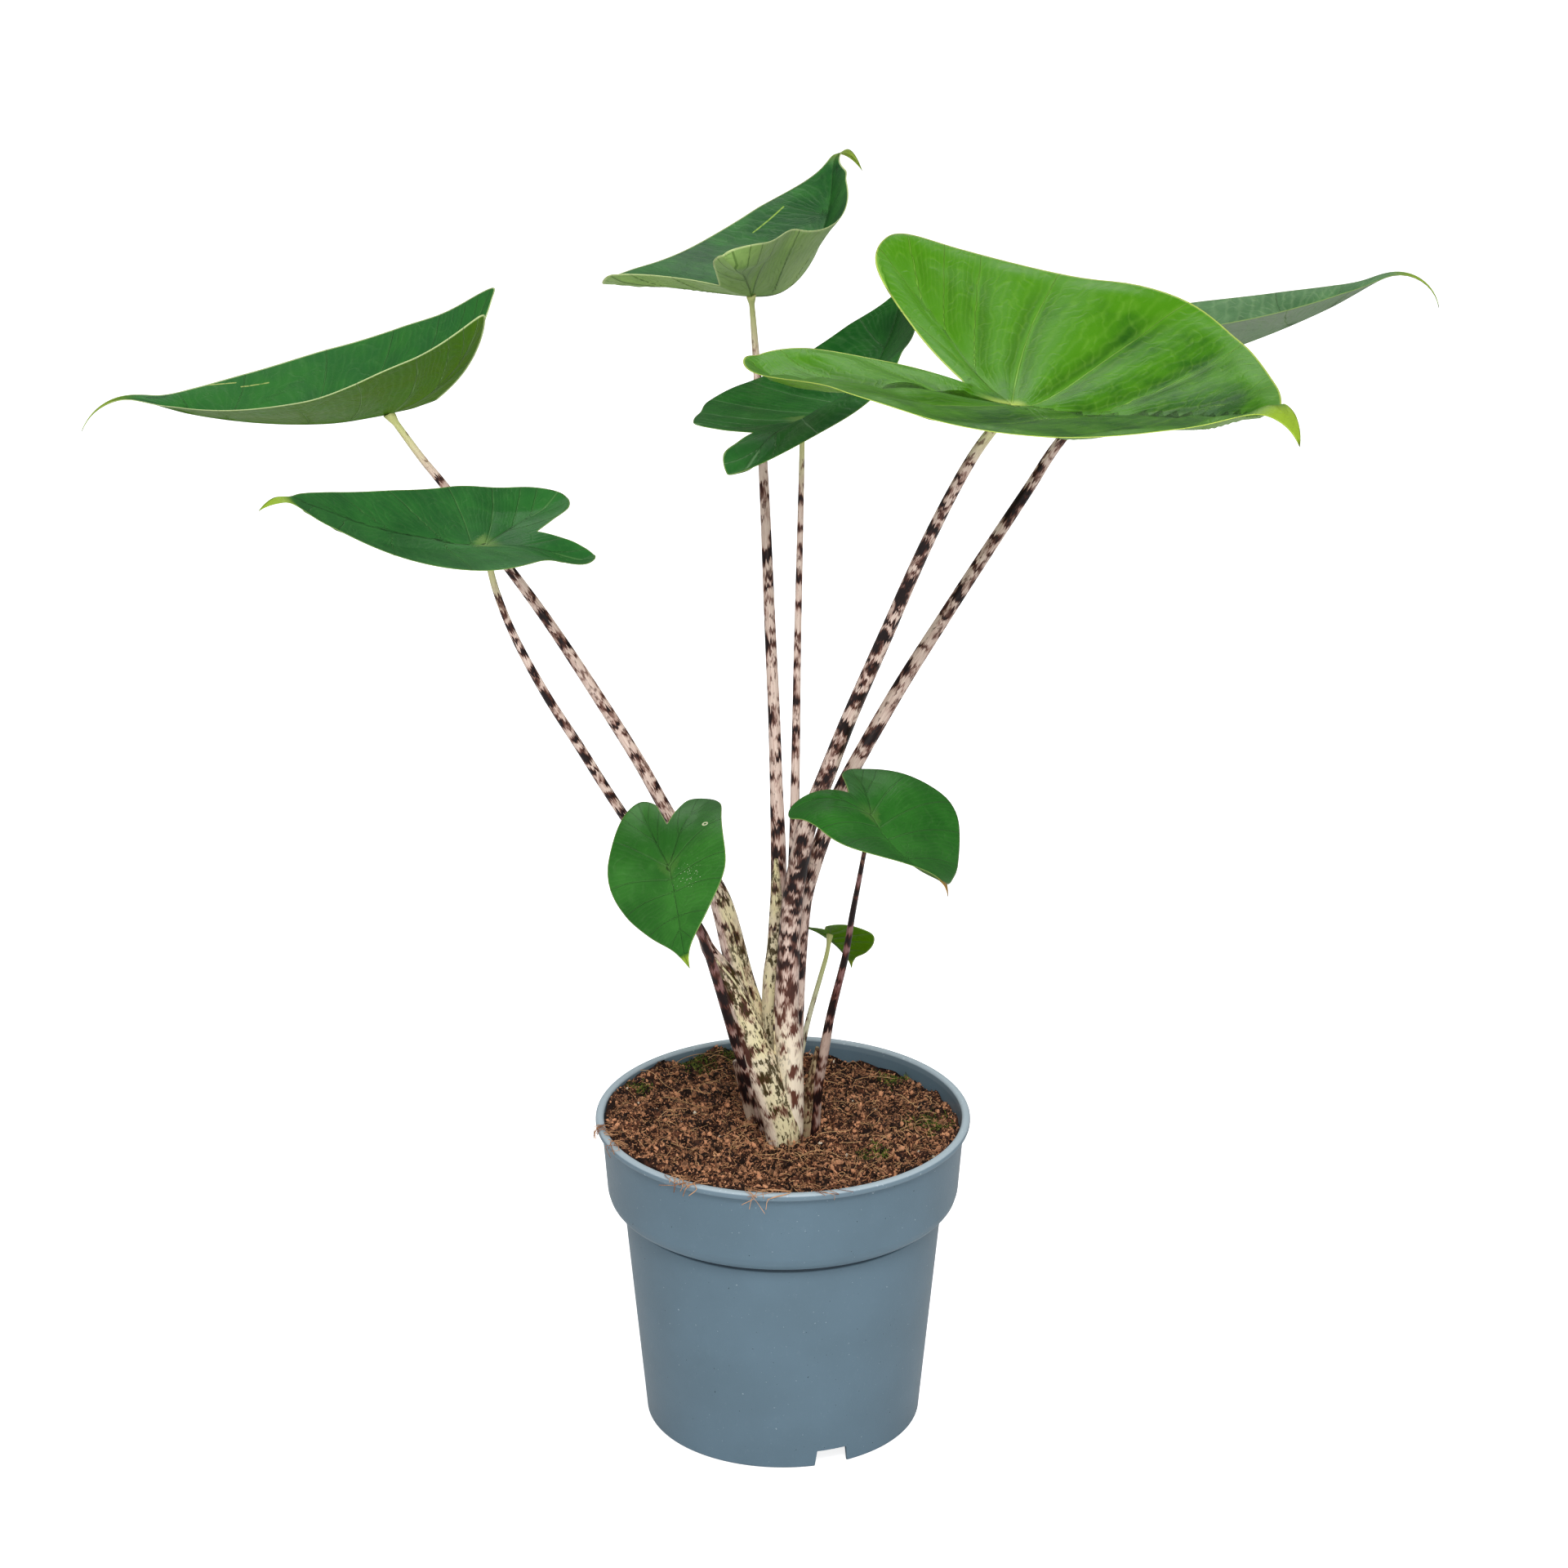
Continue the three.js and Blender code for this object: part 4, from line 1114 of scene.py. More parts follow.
@dataclass
class Pot:
    """The grower's pot: a turned shell with notches in its foot and drain holes.

    Its profiles are pairs of radius and height: the outside runs from the middle of the foot up to
    the lip, and the inner side from the lip down to the middle of the floor.
    """

    outside: tuple[Pair, ...] = (
        (0, 0), (18, 0), (18.7, 9), (61.5, 9), (61.1, 0), (62.4, 0), (62.9, 0.8), (72.5, 103.9),
        (71.8, 104.4), (71.8, 106.2), (74.2, 106.8), (77.2, 107.8), (79.0, 110.0), (79.9, 113.1),
        (82.25, 144.4), (84.6, 144.8), (85, 145.7), (85, 147.3), (84.2, 148.3), (82.15, 148.3))
    inner: tuple[Pair, ...] = (
        (81.25, 147.5), (80.85, 144.4), (78.6, 115.5), (77.7, 111.6), (75.4, 109.2), (71.9, 107.6),
        (71.3, 105.5), (62.5, 10.6), (17.1, 10.6), (16, 1.6), (0, 1.6))
    columns: int = 288
    notches: tuple[float, ...] = (-69.5, 50.5, 170.5)
    notch_width: float = 15.0
    notch_height: float = 8.0
    holes: int = 8
    hole_radius: float = 4.5
    hole_reach: float = 41.0
    hole_level: float = 10.0
    hole_depth: float = 8.0
    notch_reach: Pair = (56.0, 68.0)
    notch_below: float = 3.0
    corner: float = 0.7
    sharp: float = 38.0
    finish: PlasticFinish = field(default_factory=PlasticFinish)

    BLOCK = ((0, 2, 3, 1), (4, 5, 7, 6), (0, 1, 5, 4), (2, 6, 7, 3), (0, 4, 6, 2), (1, 3, 7, 5))

    def profile(self) -> Array:
        """The wall's closed section with its corners rounded."""
        points = [np.array(p, float) for p in (*self.outside, *self.inner)]
        line = [points[0]]
        for before, here, after in zip(points, points[1:], points[2:]):
            arms = [before - here, after - here]
            lengths = [np.linalg.norm(a) for a in arms]
            cut = min(0.45 * min(lengths), self.corner)
            start, end = (here + a / n * cut for a, n in zip(arms, lengths))
            for t in (0.0, 0.33, 0.67, 1.0):
                line.append((1 - t) ** 2 * start + 2 * t * (1 - t) * here + t * t * end)
        line.append(points[-1])
        return np.array(line)

    def turned(self) -> bpy.types.Object:
        """The turned shell."""
        section = self.profile()[1:-1]
        angle = np.linspace(0, 2 * np.pi, self.columns, endpoint=False)
        ring = np.stack([np.cos(angle), np.sin(angle)], 1)
        points = [(section[:, None, :1] * ring[None]).reshape(-1, 2),
                  np.repeat(section[:, 1], self.columns)[:, None]]
        points = np.vstack([np.hstack(points), [(0, 0, 0), (0, 0, self.inner[-1][1])]])
        base, top = len(points) - 2, len(points) - 1
        n, rows = self.columns, len(section)
        faces = wrap(rows, n)
        faces += [[base, (j + 1) % n, j] for j in range(n)]
        faces += [[top, (rows - 1) * n + j, (rows - 1) * n + (j + 1) % n] for j in range(n)]
        return write_mesh("pot_shell", points, faces, finish=self.finish.make("pot_plastic"))

    def cutters(self) -> bpy.types.Object:
        """Blocks for the foot's notches and rods for the drain holes, as one mesh."""
        tools = bmesh.new()
        for turn in self.notches:
            direction = Vector((math.cos(math.radians(turn)), math.sin(math.radians(turn)), 0))
            across = Vector((-direction.y, direction.x, 0))
            corners = []
            wide, narrow = self.notch_width + 1.5, self.notch_width - 1
            for z, width in ((-self.notch_below, wide), (self.notch_height, narrow)):
                for reach in self.notch_reach:
                    for side in (-0.5, 0.5):
                        at = direction * reach + across * side * width + Vector((0, 0, z))
                        corners.append(tools.verts.new(at * MM))
            for quad in self.BLOCK:
                tools.faces.new([corners[c] for c in quad])
        for k in range(self.holes):
            turn = 2 * math.pi * k / self.holes
            middle = Vector((math.cos(turn), math.sin(turn), 0)) * self.hole_reach
            radius, depth = self.hole_radius * MM, self.hole_depth * MM
            rod = bmesh.ops.create_cone(tools, cap_ends=True, segments=28, depth=depth,
                                        radius1=radius, radius2=radius)
            place = (middle + Vector((0, 0, self.hole_level))) * MM
            bmesh.ops.translate(tools, verts=rod["verts"], vec=place)
        bmesh.ops.recalc_face_normals(tools, faces=tools.faces)
        mesh = bpy.data.meshes.new("pot_cutters")
        tools.to_mesh(mesh)
        tools.free()
        return new_object("pot_cutters", mesh)

    def build(self) -> None:
        """Cuts the notches and holes and dresses the pot."""
        shell, tools = self.turned(), self.cutters()
        cut = shell.modifiers.new("cut", "BOOLEAN")
        cut.operation, cut.object, cut.solver = "DIFFERENCE", tools, "EXACT"
        state = bpy.context.evaluated_depsgraph_get()
        mesh = bpy.data.meshes.new_from_object(shell.evaluated_get(state))
        shell.modifiers.clear()
        shell.data = mesh
        bpy.data.objects.remove(tools)
        mesh.polygons.foreach_set("use_smooth", [True] * len(mesh.polygons))
        mesh.set_sharp_from_angle(angle=math.radians(self.sharp))
        settle(shell, "pot_plastic", "pot")


# Soil


@dataclass
class Soil:
    """Coir compost: a lumpy ground with crumbs, fibres and moss strewn over it.

    A lump is its place, its rise and its spread, and a patch of moss its place and its spread. A
    tuft is its place round the rim in degrees, how many fibres it has and how far they hang. A
    ripple is its rise, how fast it turns along X and along Y, and where it starts.
    """

    radius: float = 80.6
    level: float = 140.0
    lumps: tuple[tuple[float, float, float, float], ...] = (
        (-31, 70, 7, 7), (-54, 46, 3, 10), (20, -58, 2.5, 12), (36, 30, 2, 13), (-40, -30, 2, 14))
    moss: tuple[tuple[float, float, float], ...] = (
        (67, 4, 11), (-40, 60, 9), (52, 52, 8), (-24, 70, 7), (40, -30, 7), (-66, 30, 6))
    tufts: tuple[tuple[float, int, float], ...] = (
        (265, 16, 6.0), (237, 12, 3.0), (242, 8, 4.0), (194, 14, 2.0), (205, 10, 2.5), (286, 6, 1.0))
    ripples: tuple[tuple[float, float, float, float], ...] = (
        (0.7, 0.21, 0.34, 0), (0.6, 0.37, -0.19, 2), (0.5, 0.13, -0.47, 4))
    wall: float = 82.25
    rim_level: float = 143.4
    rim_rise: float = 3.2
    rim_side: float = 215.0
    bank_rise: float = 2.0
    bank_side: float = 200.0
    sink: float = 0.6
    bottom: float = 118.0
    bottom_share: float = 0.968
    rows: int = 76
    columns: int = 250

    def height(self, x: Array, y: Array) -> Array:
        """The ground's height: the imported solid's, and a low bank along the left edge."""
        outward, turn = smooth(np.hypot(x, y) / self.wall), np.arctan2(y, x)
        rim = self.rim_level + self.rim_rise * np.cos(turn - math.radians(self.rim_side))
        z = self.level + (rim - self.level) * outward
        for rise, along, across, start in self.ripples:
            z = z + rise * np.sin(along * x + across * y + start)
        bank = smooth(1.2 * np.cos(turn - math.radians(self.bank_side)))
        z = z + self.bank_rise * outward * bank
        for lx, ly, rise, spread in self.lumps:
            z = z + rise * np.exp(-(((x - lx) ** 2 + (y - ly) ** 2) / spread**2))
        return z

    def clumps(self, x: Array, y: Array) -> Array:
        """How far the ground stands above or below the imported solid's in clumps of coir."""
        lumps = 2.3 * lattice(x, y, 6.0, 1) + 1.3 * lattice(x, y, 3.0, 2)
        return lumps * smooth((self.radius - np.hypot(x, y)) / 6 + 0.3) - self.sink

    def ground(self) -> bpy.types.Object:
        """The ground's mesh: a lumpy top, closed below."""
        reach = np.linspace(0, 1, self.rows + 1)[1:] * self.radius
        angle = np.linspace(0, 2 * np.pi, self.columns, endpoint=False)
        x = (reach[:, None] * np.cos(angle)).ravel()
        y = (reach[:, None] * np.sin(angle)).ravel()
        rng = np.random.default_rng(11)
        z = self.height(x, y) + self.clumps(x, y) + rng.normal(0, 0.3, len(x))
        points = np.column_stack([x, y, z])
        low = points[-self.columns:].copy()
        low[:, 2] = self.bottom
        low[:, :2] *= self.bottom_share
        count = len(points)
        middle = float(self.height(0, 0)) - self.sink
        points = np.vstack([points, low, [(0, 0, middle), (0, 0, self.bottom)]])
        n = self.columns
        faces = [[a, d, c, b] for a, b, c, d in wrap(self.rows + 1, n)]
        faces += [[count + n, j, (j + 1) % n] for j in range(n)]
        faces += [[count + n + 1, count + (j + 1) % n, count + j] for j in range(n)]
        finish = SoilFinish(dark=(30, 15, 10), light=(110, 66, 46)).make("soil_ground")
        tint = rng.uniform(0, 0.5, len(points))
        moss = np.zeros(len(points))
        for mx, my, spread in self.moss:
            off = np.hypot(points[:, 0] - mx, points[:, 1] - my) / spread
            moss = np.maximum(moss, smooth(1.3 - off) * 0.9)
        return write_mesh("soil_ground", points, faces, {"tint": tint, "moss": moss}, finish)

    def spill(self) -> None:
        """Tufts of fibre over the pot's rim: each leaves the coir, crosses the rim and hangs."""
        rng = np.random.default_rng(29)
        points, faces, tints = [], [], []
        for degrees, count, hang in self.tufts:
            for _ in range(count):
                turn = math.radians(degrees) + rng.normal(0, 0.03)
                drift = rng.normal(0, 0.04, 5)
                drop = hang * rng.uniform(0.3, 1.0)
                reach = np.array([75.0, 80.5, 84.0, 86.4, 87.0 + 0.25 * drop])
                level = np.array([145.5, 148.6, 149.3, 147.9 - 0.2 * drop, 146.5 - drop])
                level[:2] += rng.uniform(-0.5, 1.0)
                x, y = reach * np.cos(turn + drift), reach * np.sin(turn + drift)
                path = np.column_stack([x, y, level])
                path = path[: rng.integers(3, 6)]
                made, sides = tube(spline(path, 5), rng.uniform(0.1, 0.2), 4)
                start = sum(map(len, points))
                faces += [[c + start for c in face] for face in sides]
                points.append(made)
                tints.append(np.full(len(made), rng.uniform(0.2, 1.0)))
        finish = SoilFinish(dark=(112, 66, 44), light=(224, 172, 128), seed=29.0).make("soil_tufts")
        values = {"tint": np.concatenate(tints)}
        settle(write_mesh("soil_tufts", np.vstack(points), faces, values, finish), "compost")

    def build(self) -> None:
        """Makes the ground, then strews it."""
        ground = self.ground()
        strew = [
            Litter("soil_crumbs_coarse", Shape.CRUMB, density=100_000, size=(1.2, 3.2), seed=3,
                   tint=(0.1, 0.9), reach=79.5, facets=6),
            Litter("soil_crumbs_fine", Shape.CRUMB, density=430_000, size=(0.8, 1.8), seed=5,
                   tint=(0.0, 1.0)),
            Litter("soil_crumbs_dust", Shape.CRUMB, density=430_000, size=(0.5, 1.1), seed=27,
                   tint=(0.0, 1.0)),
            Litter("soil_fibres_short", Shape.FIBRE, density=190_000, size=(1.8, 5.0), seed=7,
                   tint=(0.2, 1.0), reach=78.0, steps=4, lean=1.0, thickness=0.12, light=(226, 158, 114)),
            Litter("soil_fibres_curled", Shape.FIBRE, density=62_000, size=(3.0, 8.0), seed=21,
                   tint=(0.3, 1.0), reach=76.5, steps=7, lean=0.8, thickness=0.13, light=(240, 190, 138),
                   dark=(96, 56, 34)),
            Litter("soil_fibres_long", Shape.FIBRE, density=7_000, size=(10.0, 22.0), seed=9,
                   tint=(0.6, 1.0), reach=70.0, thickness=0.14, light=(222, 178, 128),
                   dark=(150, 100, 66), steps=14, lean=0.3),
            Litter("soil_grains", Shape.CRUMB, density=1_600, size=(1.2, 2.2), seed=25, tint=(0.4, 1.0),
                   reach=78.0, facets=6, light=(236, 226, 206), dark=(176, 156, 126)),
            Litter("soil_moss", Shape.FIBRE, density=2_400_000, size=(1.6, 3.6), seed=13, tint=(0.0, 1.0),
                   reach=79.5, thickness=0.2, light=(118, 134, 54), dark=(34, 44, 20), steps=4,
                   only="moss", lean=1.4),
        ]
        for litter in strew:
            litter.build(ground)
        self.spill()
        settle(ground, "compost", "soil")


class Shape(Enum):
    """What a litter is made of."""

    CRUMB = "crumb"
    FIBRE = "fibre"


@dataclass
class Litter:
    """Many small bits of one kind, strewn over the ground by geometry nodes.

    The density is for each square metre, and the size is the least and greatest.
    """

    name: str
    shape: Shape
    density: float
    size: Pair
    seed: int
    tint: Pair
    facets: int = 4
    thickness: float = 0.13
    light: Rgb = (220, 158, 118)
    dark: Rgb = (28, 13, 7)
    steps: int = 7
    reach: float = 80.0
    only: str = ""
    lean: float = 0.5

    def inputs(self) -> dict[str, float]:
        """The tree's named inputs, in metres."""
        return {"Density": self.density, "Least size": self.size[0] * MM,
                "Greatest size": self.size[1] * MM}

    def random(self, t: Tree, low: Any, high: Any, seed: int, vector: bool = True) -> Signal:
        """A random number or vector for each bit."""
        kind, first, output = ("FLOAT_VECTOR", 0, 0) if vector else ("FLOAT", 2, 1)
        values = {first: low, first + 1: high, "Seed": seed + self.seed}
        return t.node("FunctionNodeRandomValue", {"data_type": kind}, values, output)

    def tree(self, finish: bpy.types.Material) -> bpy.types.NodeTree:
        """The node tree that strews the bits over a ground and gives them their finish."""
        group = bpy.data.node_groups.new(self.name, "GeometryNodeTree")
        for way in ("INPUT", "OUTPUT"):
            group.interface.new_socket("Geometry", in_out=way, socket_type="NodeSocketGeometry")
        for key in self.inputs():
            group.interface.new_socket(key, in_out="INPUT", socket_type="NodeSocketFloat")
        t = Tree(group)
        given = {k: t.node("NodeGroupInput", output=k) for k in ("Geometry", *self.inputs())}
        bent = self.roughen(t, self.strew(t, given))
        done = t.node("GeometryNodeSetMaterial", values={"Geometry": bent, "Material": finish})
        t.node("NodeGroupOutput", values={0: done})
        return group

    def strew(self, t: Tree, given: dict[str, Signal]) -> Signal:
        """Bits on the upward faces within reach, turned, stretched and tinted at random.

        Args:
            t: the tree that the nodes go into.
            given: its named inputs.

        Returns:
            The bits, no longer instances.
        """
        facing = t.node("GeometryNodeInputNormal").parts()[2]
        x, y, _ = t.node("GeometryNodeInputPosition").parts()
        away = (x * x + y * y) ** 0.5
        chosen = facing.step(0.2, 0.3) * away.step(self.reach * MM, (self.reach - 0.5) * MM)
        if self.only:
            chosen = chosen * t.node("GeometryNodeInputNamedAttribute", {"data_type": "FLOAT"},
                                     {"Name": self.only})
        points = t.node("GeometryNodeDistributePointsOnFaces", {"distribute_method": "POISSON"}, {
            "Mesh": given["Geometry"], "Density Max": given["Density"], "Seed": self.seed,
            "Density Factor": chosen, "Distance Min": 0.0})
        size = self.random(t, given["Least size"], given["Greatest size"], 1, vector=False)
        if self.shape is Shape.CRUMB:
            bit = t.node("GeometryNodeMeshUVSphere", values={
                "Segments": self.facets, "Rings": self.facets // 2, "Radius": 0.5})
            turn = self.random(t, (0, 0, 0), (math.tau, math.tau, math.tau), 2)
            stretch = self.random(t, (0.7, 0.6, 0.4), (1.6, 1.1, 0.9), 3)
        else:
            bit = t.node("GeometryNodeCurvePrimitiveBezierSegment", values={
                "Resolution": self.steps, "Start": (-0.5, 0, 0), "Start Handle": (-0.2, 0.3, 0.12),
                "End Handle": (0.2, -0.3, 0.14), "End": (0.5, 0, 0)})
            turn = self.random(t, (-self.lean, -self.lean, 0), (self.lean, self.lean, math.tau), 2)
            stretch = self.random(t, (0.8, 0.3, 0.4), (1.2, 1.6, 1.6), 3)
        scale = t.node("ShaderNodeVectorMath", {"operation": "SCALE"}, {0: stretch, 3: size})
        placed = t.node("GeometryNodeInstanceOnPoints", values={
            "Points": points, "Instance": bit, "Rotation": turn, "Scale": scale})
        tint = self.random(t, *self.tint, 4, vector=False)
        named = t.node("GeometryNodeStoreNamedAttribute",
                       {"data_type": "FLOAT", "domain": "INSTANCE"},
                       {"Geometry": placed, "Name": "tint", "Value": tint})
        lift = self.random(t, (0, 0, -0.4 * self.size[1] * MM), (0, 0, 0.5 * self.size[0] * MM), 5)
        moved = t.node("GeometryNodeTranslateInstances", values={
            "Instances": named, "Translation": lift, "Local Space": False})
        return t.node("GeometryNodeRealizeInstances", values={"Geometry": moved})

    def roughen(self, t: Tree, bits: Signal) -> Signal:
        """Breaks up the crumbs' roundness, or bends the fibres and gives them their thickness."""
        crumb = self.shape is Shape.CRUMB
        grain, share = (700.0, 0.5) if crumb else (160.0, 0.35)
        values = {"Vector": t.node("GeometryNodeInputPosition"), "Scale": grain, "Detail": 2.0}
        cloud = t.node("ShaderNodeTexNoise", values=values, output=1)
        values = {0: cloud, 1: (0.5, 0.5, 0.5)}
        centred = t.node("ShaderNodeVectorMath", {"operation": "SUBTRACT"}, values)
        reach = share * self.size[0] * MM
        push = centred.scaled(*(reach * 3.0,) * 3)
        bent = t.node("GeometryNodeSetPosition", values={"Geometry": bits, "Offset": push})
        if crumb:
            return bent
        ring = t.node("GeometryNodeCurvePrimitiveCircle", values={
            "Resolution": 3, "Radius": self.thickness * MM})
        return t.node("GeometryNodeCurveToMesh", values={
            "Curve": bent, "Profile Curve": ring, "Fill Caps": True})

    def build(self, ground: bpy.types.Object) -> None:
        """Strews the bits over the ground, as a plain mesh of their own."""
        finish = SoilFinish(self.dark, self.light, float(self.seed)).make(self.name)
        group, inputs = self.tree(finish), self.inputs()
        piece = new_object(self.name, ground.data.copy())
        strewn = piece.modifiers.new("strewn", "NODES")
        strewn.node_group = group
        for item in group.interface.items_tree:
            if item.name in inputs:
                strewn[item.identifier] = float(inputs[item.name])
        state = bpy.context.evaluated_depsgraph_get()
        mesh = bpy.data.meshes.new_from_object(piece.evaluated_get(state))
        piece.modifiers.clear()
        piece.data = mesh
        mesh.name = self.name
        settle(piece, "compost")


# Plant


class Plant:
    """All leaves, stalks and sheaths, and the corm they stand on."""

    FOOT = 122.0
    # Each stalk's centre line from the corm up, with its radius
    ROUTES: dict[str, Route] = {
        "large_right": (
            (2.5, -9.5, FOOT, 5.8), (2.5, -11, 140, 6.65), (3, -11, 162.5, 6.65),
            (2.5, -11.5, 182.5, 6.4), (1.5, -12, 203, 5.65), (2.5, -12.5, 230, 5.1),
            (4, -13, 255, 4.7), (7.5, -14.5, 279, 4.5), (11.5, -17.5, 298.5, 4.3),
            (17.5, -22, 316.5, 4), (28.5, -33, 351, 3.45), (43.5, -47, 393.5, 3.2),
            (61, -65, 443, 2.75), (78, -81, 483.5, 2.35)),
        "top": (
            (-2, 2.5, FOOT, 3.8), (-2.5, 3, 143.5, 4.1), (-3, 3, 172, 4.05), (-3.5, 2, 213, 4.05),
            (-2, 1.5, 252.5, 3.65), (-2, 3, 275.5, 3.45), (-3, 10, 306.5, 2.9),
            (-4, 20, 336.5, 2.7), (-5.5, 32.5, 366, 2.55), (-8.5, 60, 430.5, 2.15),
            (-11.5, 75, 476, 1.7), (-13, 75, 497.5, 1.35)),
        "far_right": (
            (5.5, 0, FOOT, 3.4), (5.5, -1, 145.5, 3.7), (5.5, -1, 178, 3.7), (6.5, -2, 214.5, 3.65),
            (9, -4, 251, 3.65), (13.5, -3.5, 270.5, 3.6), (18.5, -0.5, 285, 3.6),
            (26, 5.5, 303, 3.55), (35.5, 12, 319.5, 3.45), (52.5, 24, 346, 3.3),
            (71, 36, 372.5, 3.05), (90, 46, 400, 2.85), (109, 57, 426.5, 2.55),
            (123.5, 63, 447.5, 2.25)),
        "centre": (
            (1, -3, FOOT, 2.2), (2, -3, 146.5, 2.2), (2.5, -3, 179, 2.2), (3.5, -4, 215.5, 2.2),
            (4, -5, 255.5, 2.2), (5, -4, 287, 2.15), (5.5, -2, 311.5, 2), (6, 1, 343.5, 1.8),
            (6.5, 4, 375.5, 1.6), (8, 8.5, 445, 1.25)),
        "upper_left": (
            (-5, 5, FOOT, 5.2), (-5.5, 5, 139, 5.6), (-7.5, 4, 171.5, 5.55), (-12.5, 4, 192, 5.9),
            (-19, 6, 212.5, 5.9), (-26, 10, 241.5, 5.3), (-31.5, 12, 256.5, 4.2),
            (-41, 14, 271.5, 3.45), (-51.5, 16, 288.5, 3), (-64.5, 18.5, 312.5, 2.9),
            (-82.5, 22, 342, 2.75), (-101.5, 25, 372, 2.5), (-119.5, 27, 398, 2.25),
            (-147.5, 29, 436, 1.9), (-158, 30, 449.5, 1.7)),
        "small_left": (
            (-8, -2, FOOT, 2.2), (-8, -4, 138.5, 2.2), (-10, -8, 149, 2.2), (-14, -14, 167.5, 2.2),
            (-20.5, -20, 189.5, 2.2), (-25, -25, 209, 2.2), (-30.5, -31, 232.5, 2.15),
            (-35, -36, 249, 1.8), (-41, -44, 268, 1.4), (-47, -54, 285.5, 1.05)),
        "lower_left": (
            (0.5, -11.5, FOOT, 7.2), (0, -13, 145, 8.1), (-5, -13, 163, 8.1), (-9.5, -13.5, 178, 7.9),
            (-13, -14, 186.5, 7.3), (-17, -15, 200.5, 6.4), (-25, -17, 222.5, 4.7),
            (-33, -19, 237, 3.1), (-37.5, -19, 247.5, 2.45), (-57, -19, 280, 2.3),
            (-75.5, -23, 312, 2.2), (-88, -29, 336.5, 2.15), (-102, -38, 364.5, 1.95),
            (-114, -45.5, 392.5, 1.7), (-121.5, -51, 416.5, 1.5)),
        "small_right": (
            (12, -4, FOOT, 2.6), (14, -4, 140.5, 2.8), (15.5, -6, 163, 2.6), (18.5, -10, 183, 2.3),
            (21.5, -14, 203.5, 1.9), (27.5, -24, 235, 1.55), (30.5, -33, 259.5, 1.35),
            (33, -42, 278.5, 1.15), (35, -52, 295.5, 1)),
        "tiny": (
            (5.5, 6, FOOT, 1.5), (6, 6, 146, 1.5), (7, 7, 166, 1.4), (9, 9.5, 177.5, 1.3),
            (12, 14, 190, 1.2), (17, 23, 205, 1.1), (20, 30, 213.5, 1)),
        "pointed_sheath": (
            (-4.5, 0, FOOT, 4.8), (-4.5, 0, 143, 5.2), (-4.5, 0, 177.5, 5.15),
            (-4.5, -1, 211.5, 4.75), (-3.5, -1, 230, 3.65), (-3, -1.5, 250, 2.9),
            (-3, -1.5, 263.5, 2), (-3, -1.5, 273, 0.8)),
        "dry_sheath": (
            (11, -2.5, FOOT, 3.6), (11.5, -2, 138, 4.3), (12, -4, 156, 3.7), (14, -6.5, 171.5, 2.2),
            (15.5, -8.5, 184.5, 0.8)),
        "old_petiole_stub": (
            (-8, 7, FOOT, 4.2), (-12.5, 11.5, 140, 4.5), (-15.5, 13, 153, 4.45),
            (-19, 15, 167.5, 4.1)),
    }
    DRY = ("dry_sheath", "old_petiole_stub")
    # The open edge of a sheath: heights, and degrees round the stalk from the camera side
    MARGINS: dict[str, tuple[tuple[Pair, ...], ...]] = {
        "lower_left": (((243, -15), (236, 8), (220, 45), (206, 64), (190, 74), (176, 78)),),
        "upper_left": (((263, 0), (250, 12), (225, 18), (200, 24), (182, 30)),),
        "top": (((240, -50), (225, -62), (200, -70), (170, -74)),),
        "large_right": (((212, -76), (190, -70), (165, -66), (146, -64)),),
    }

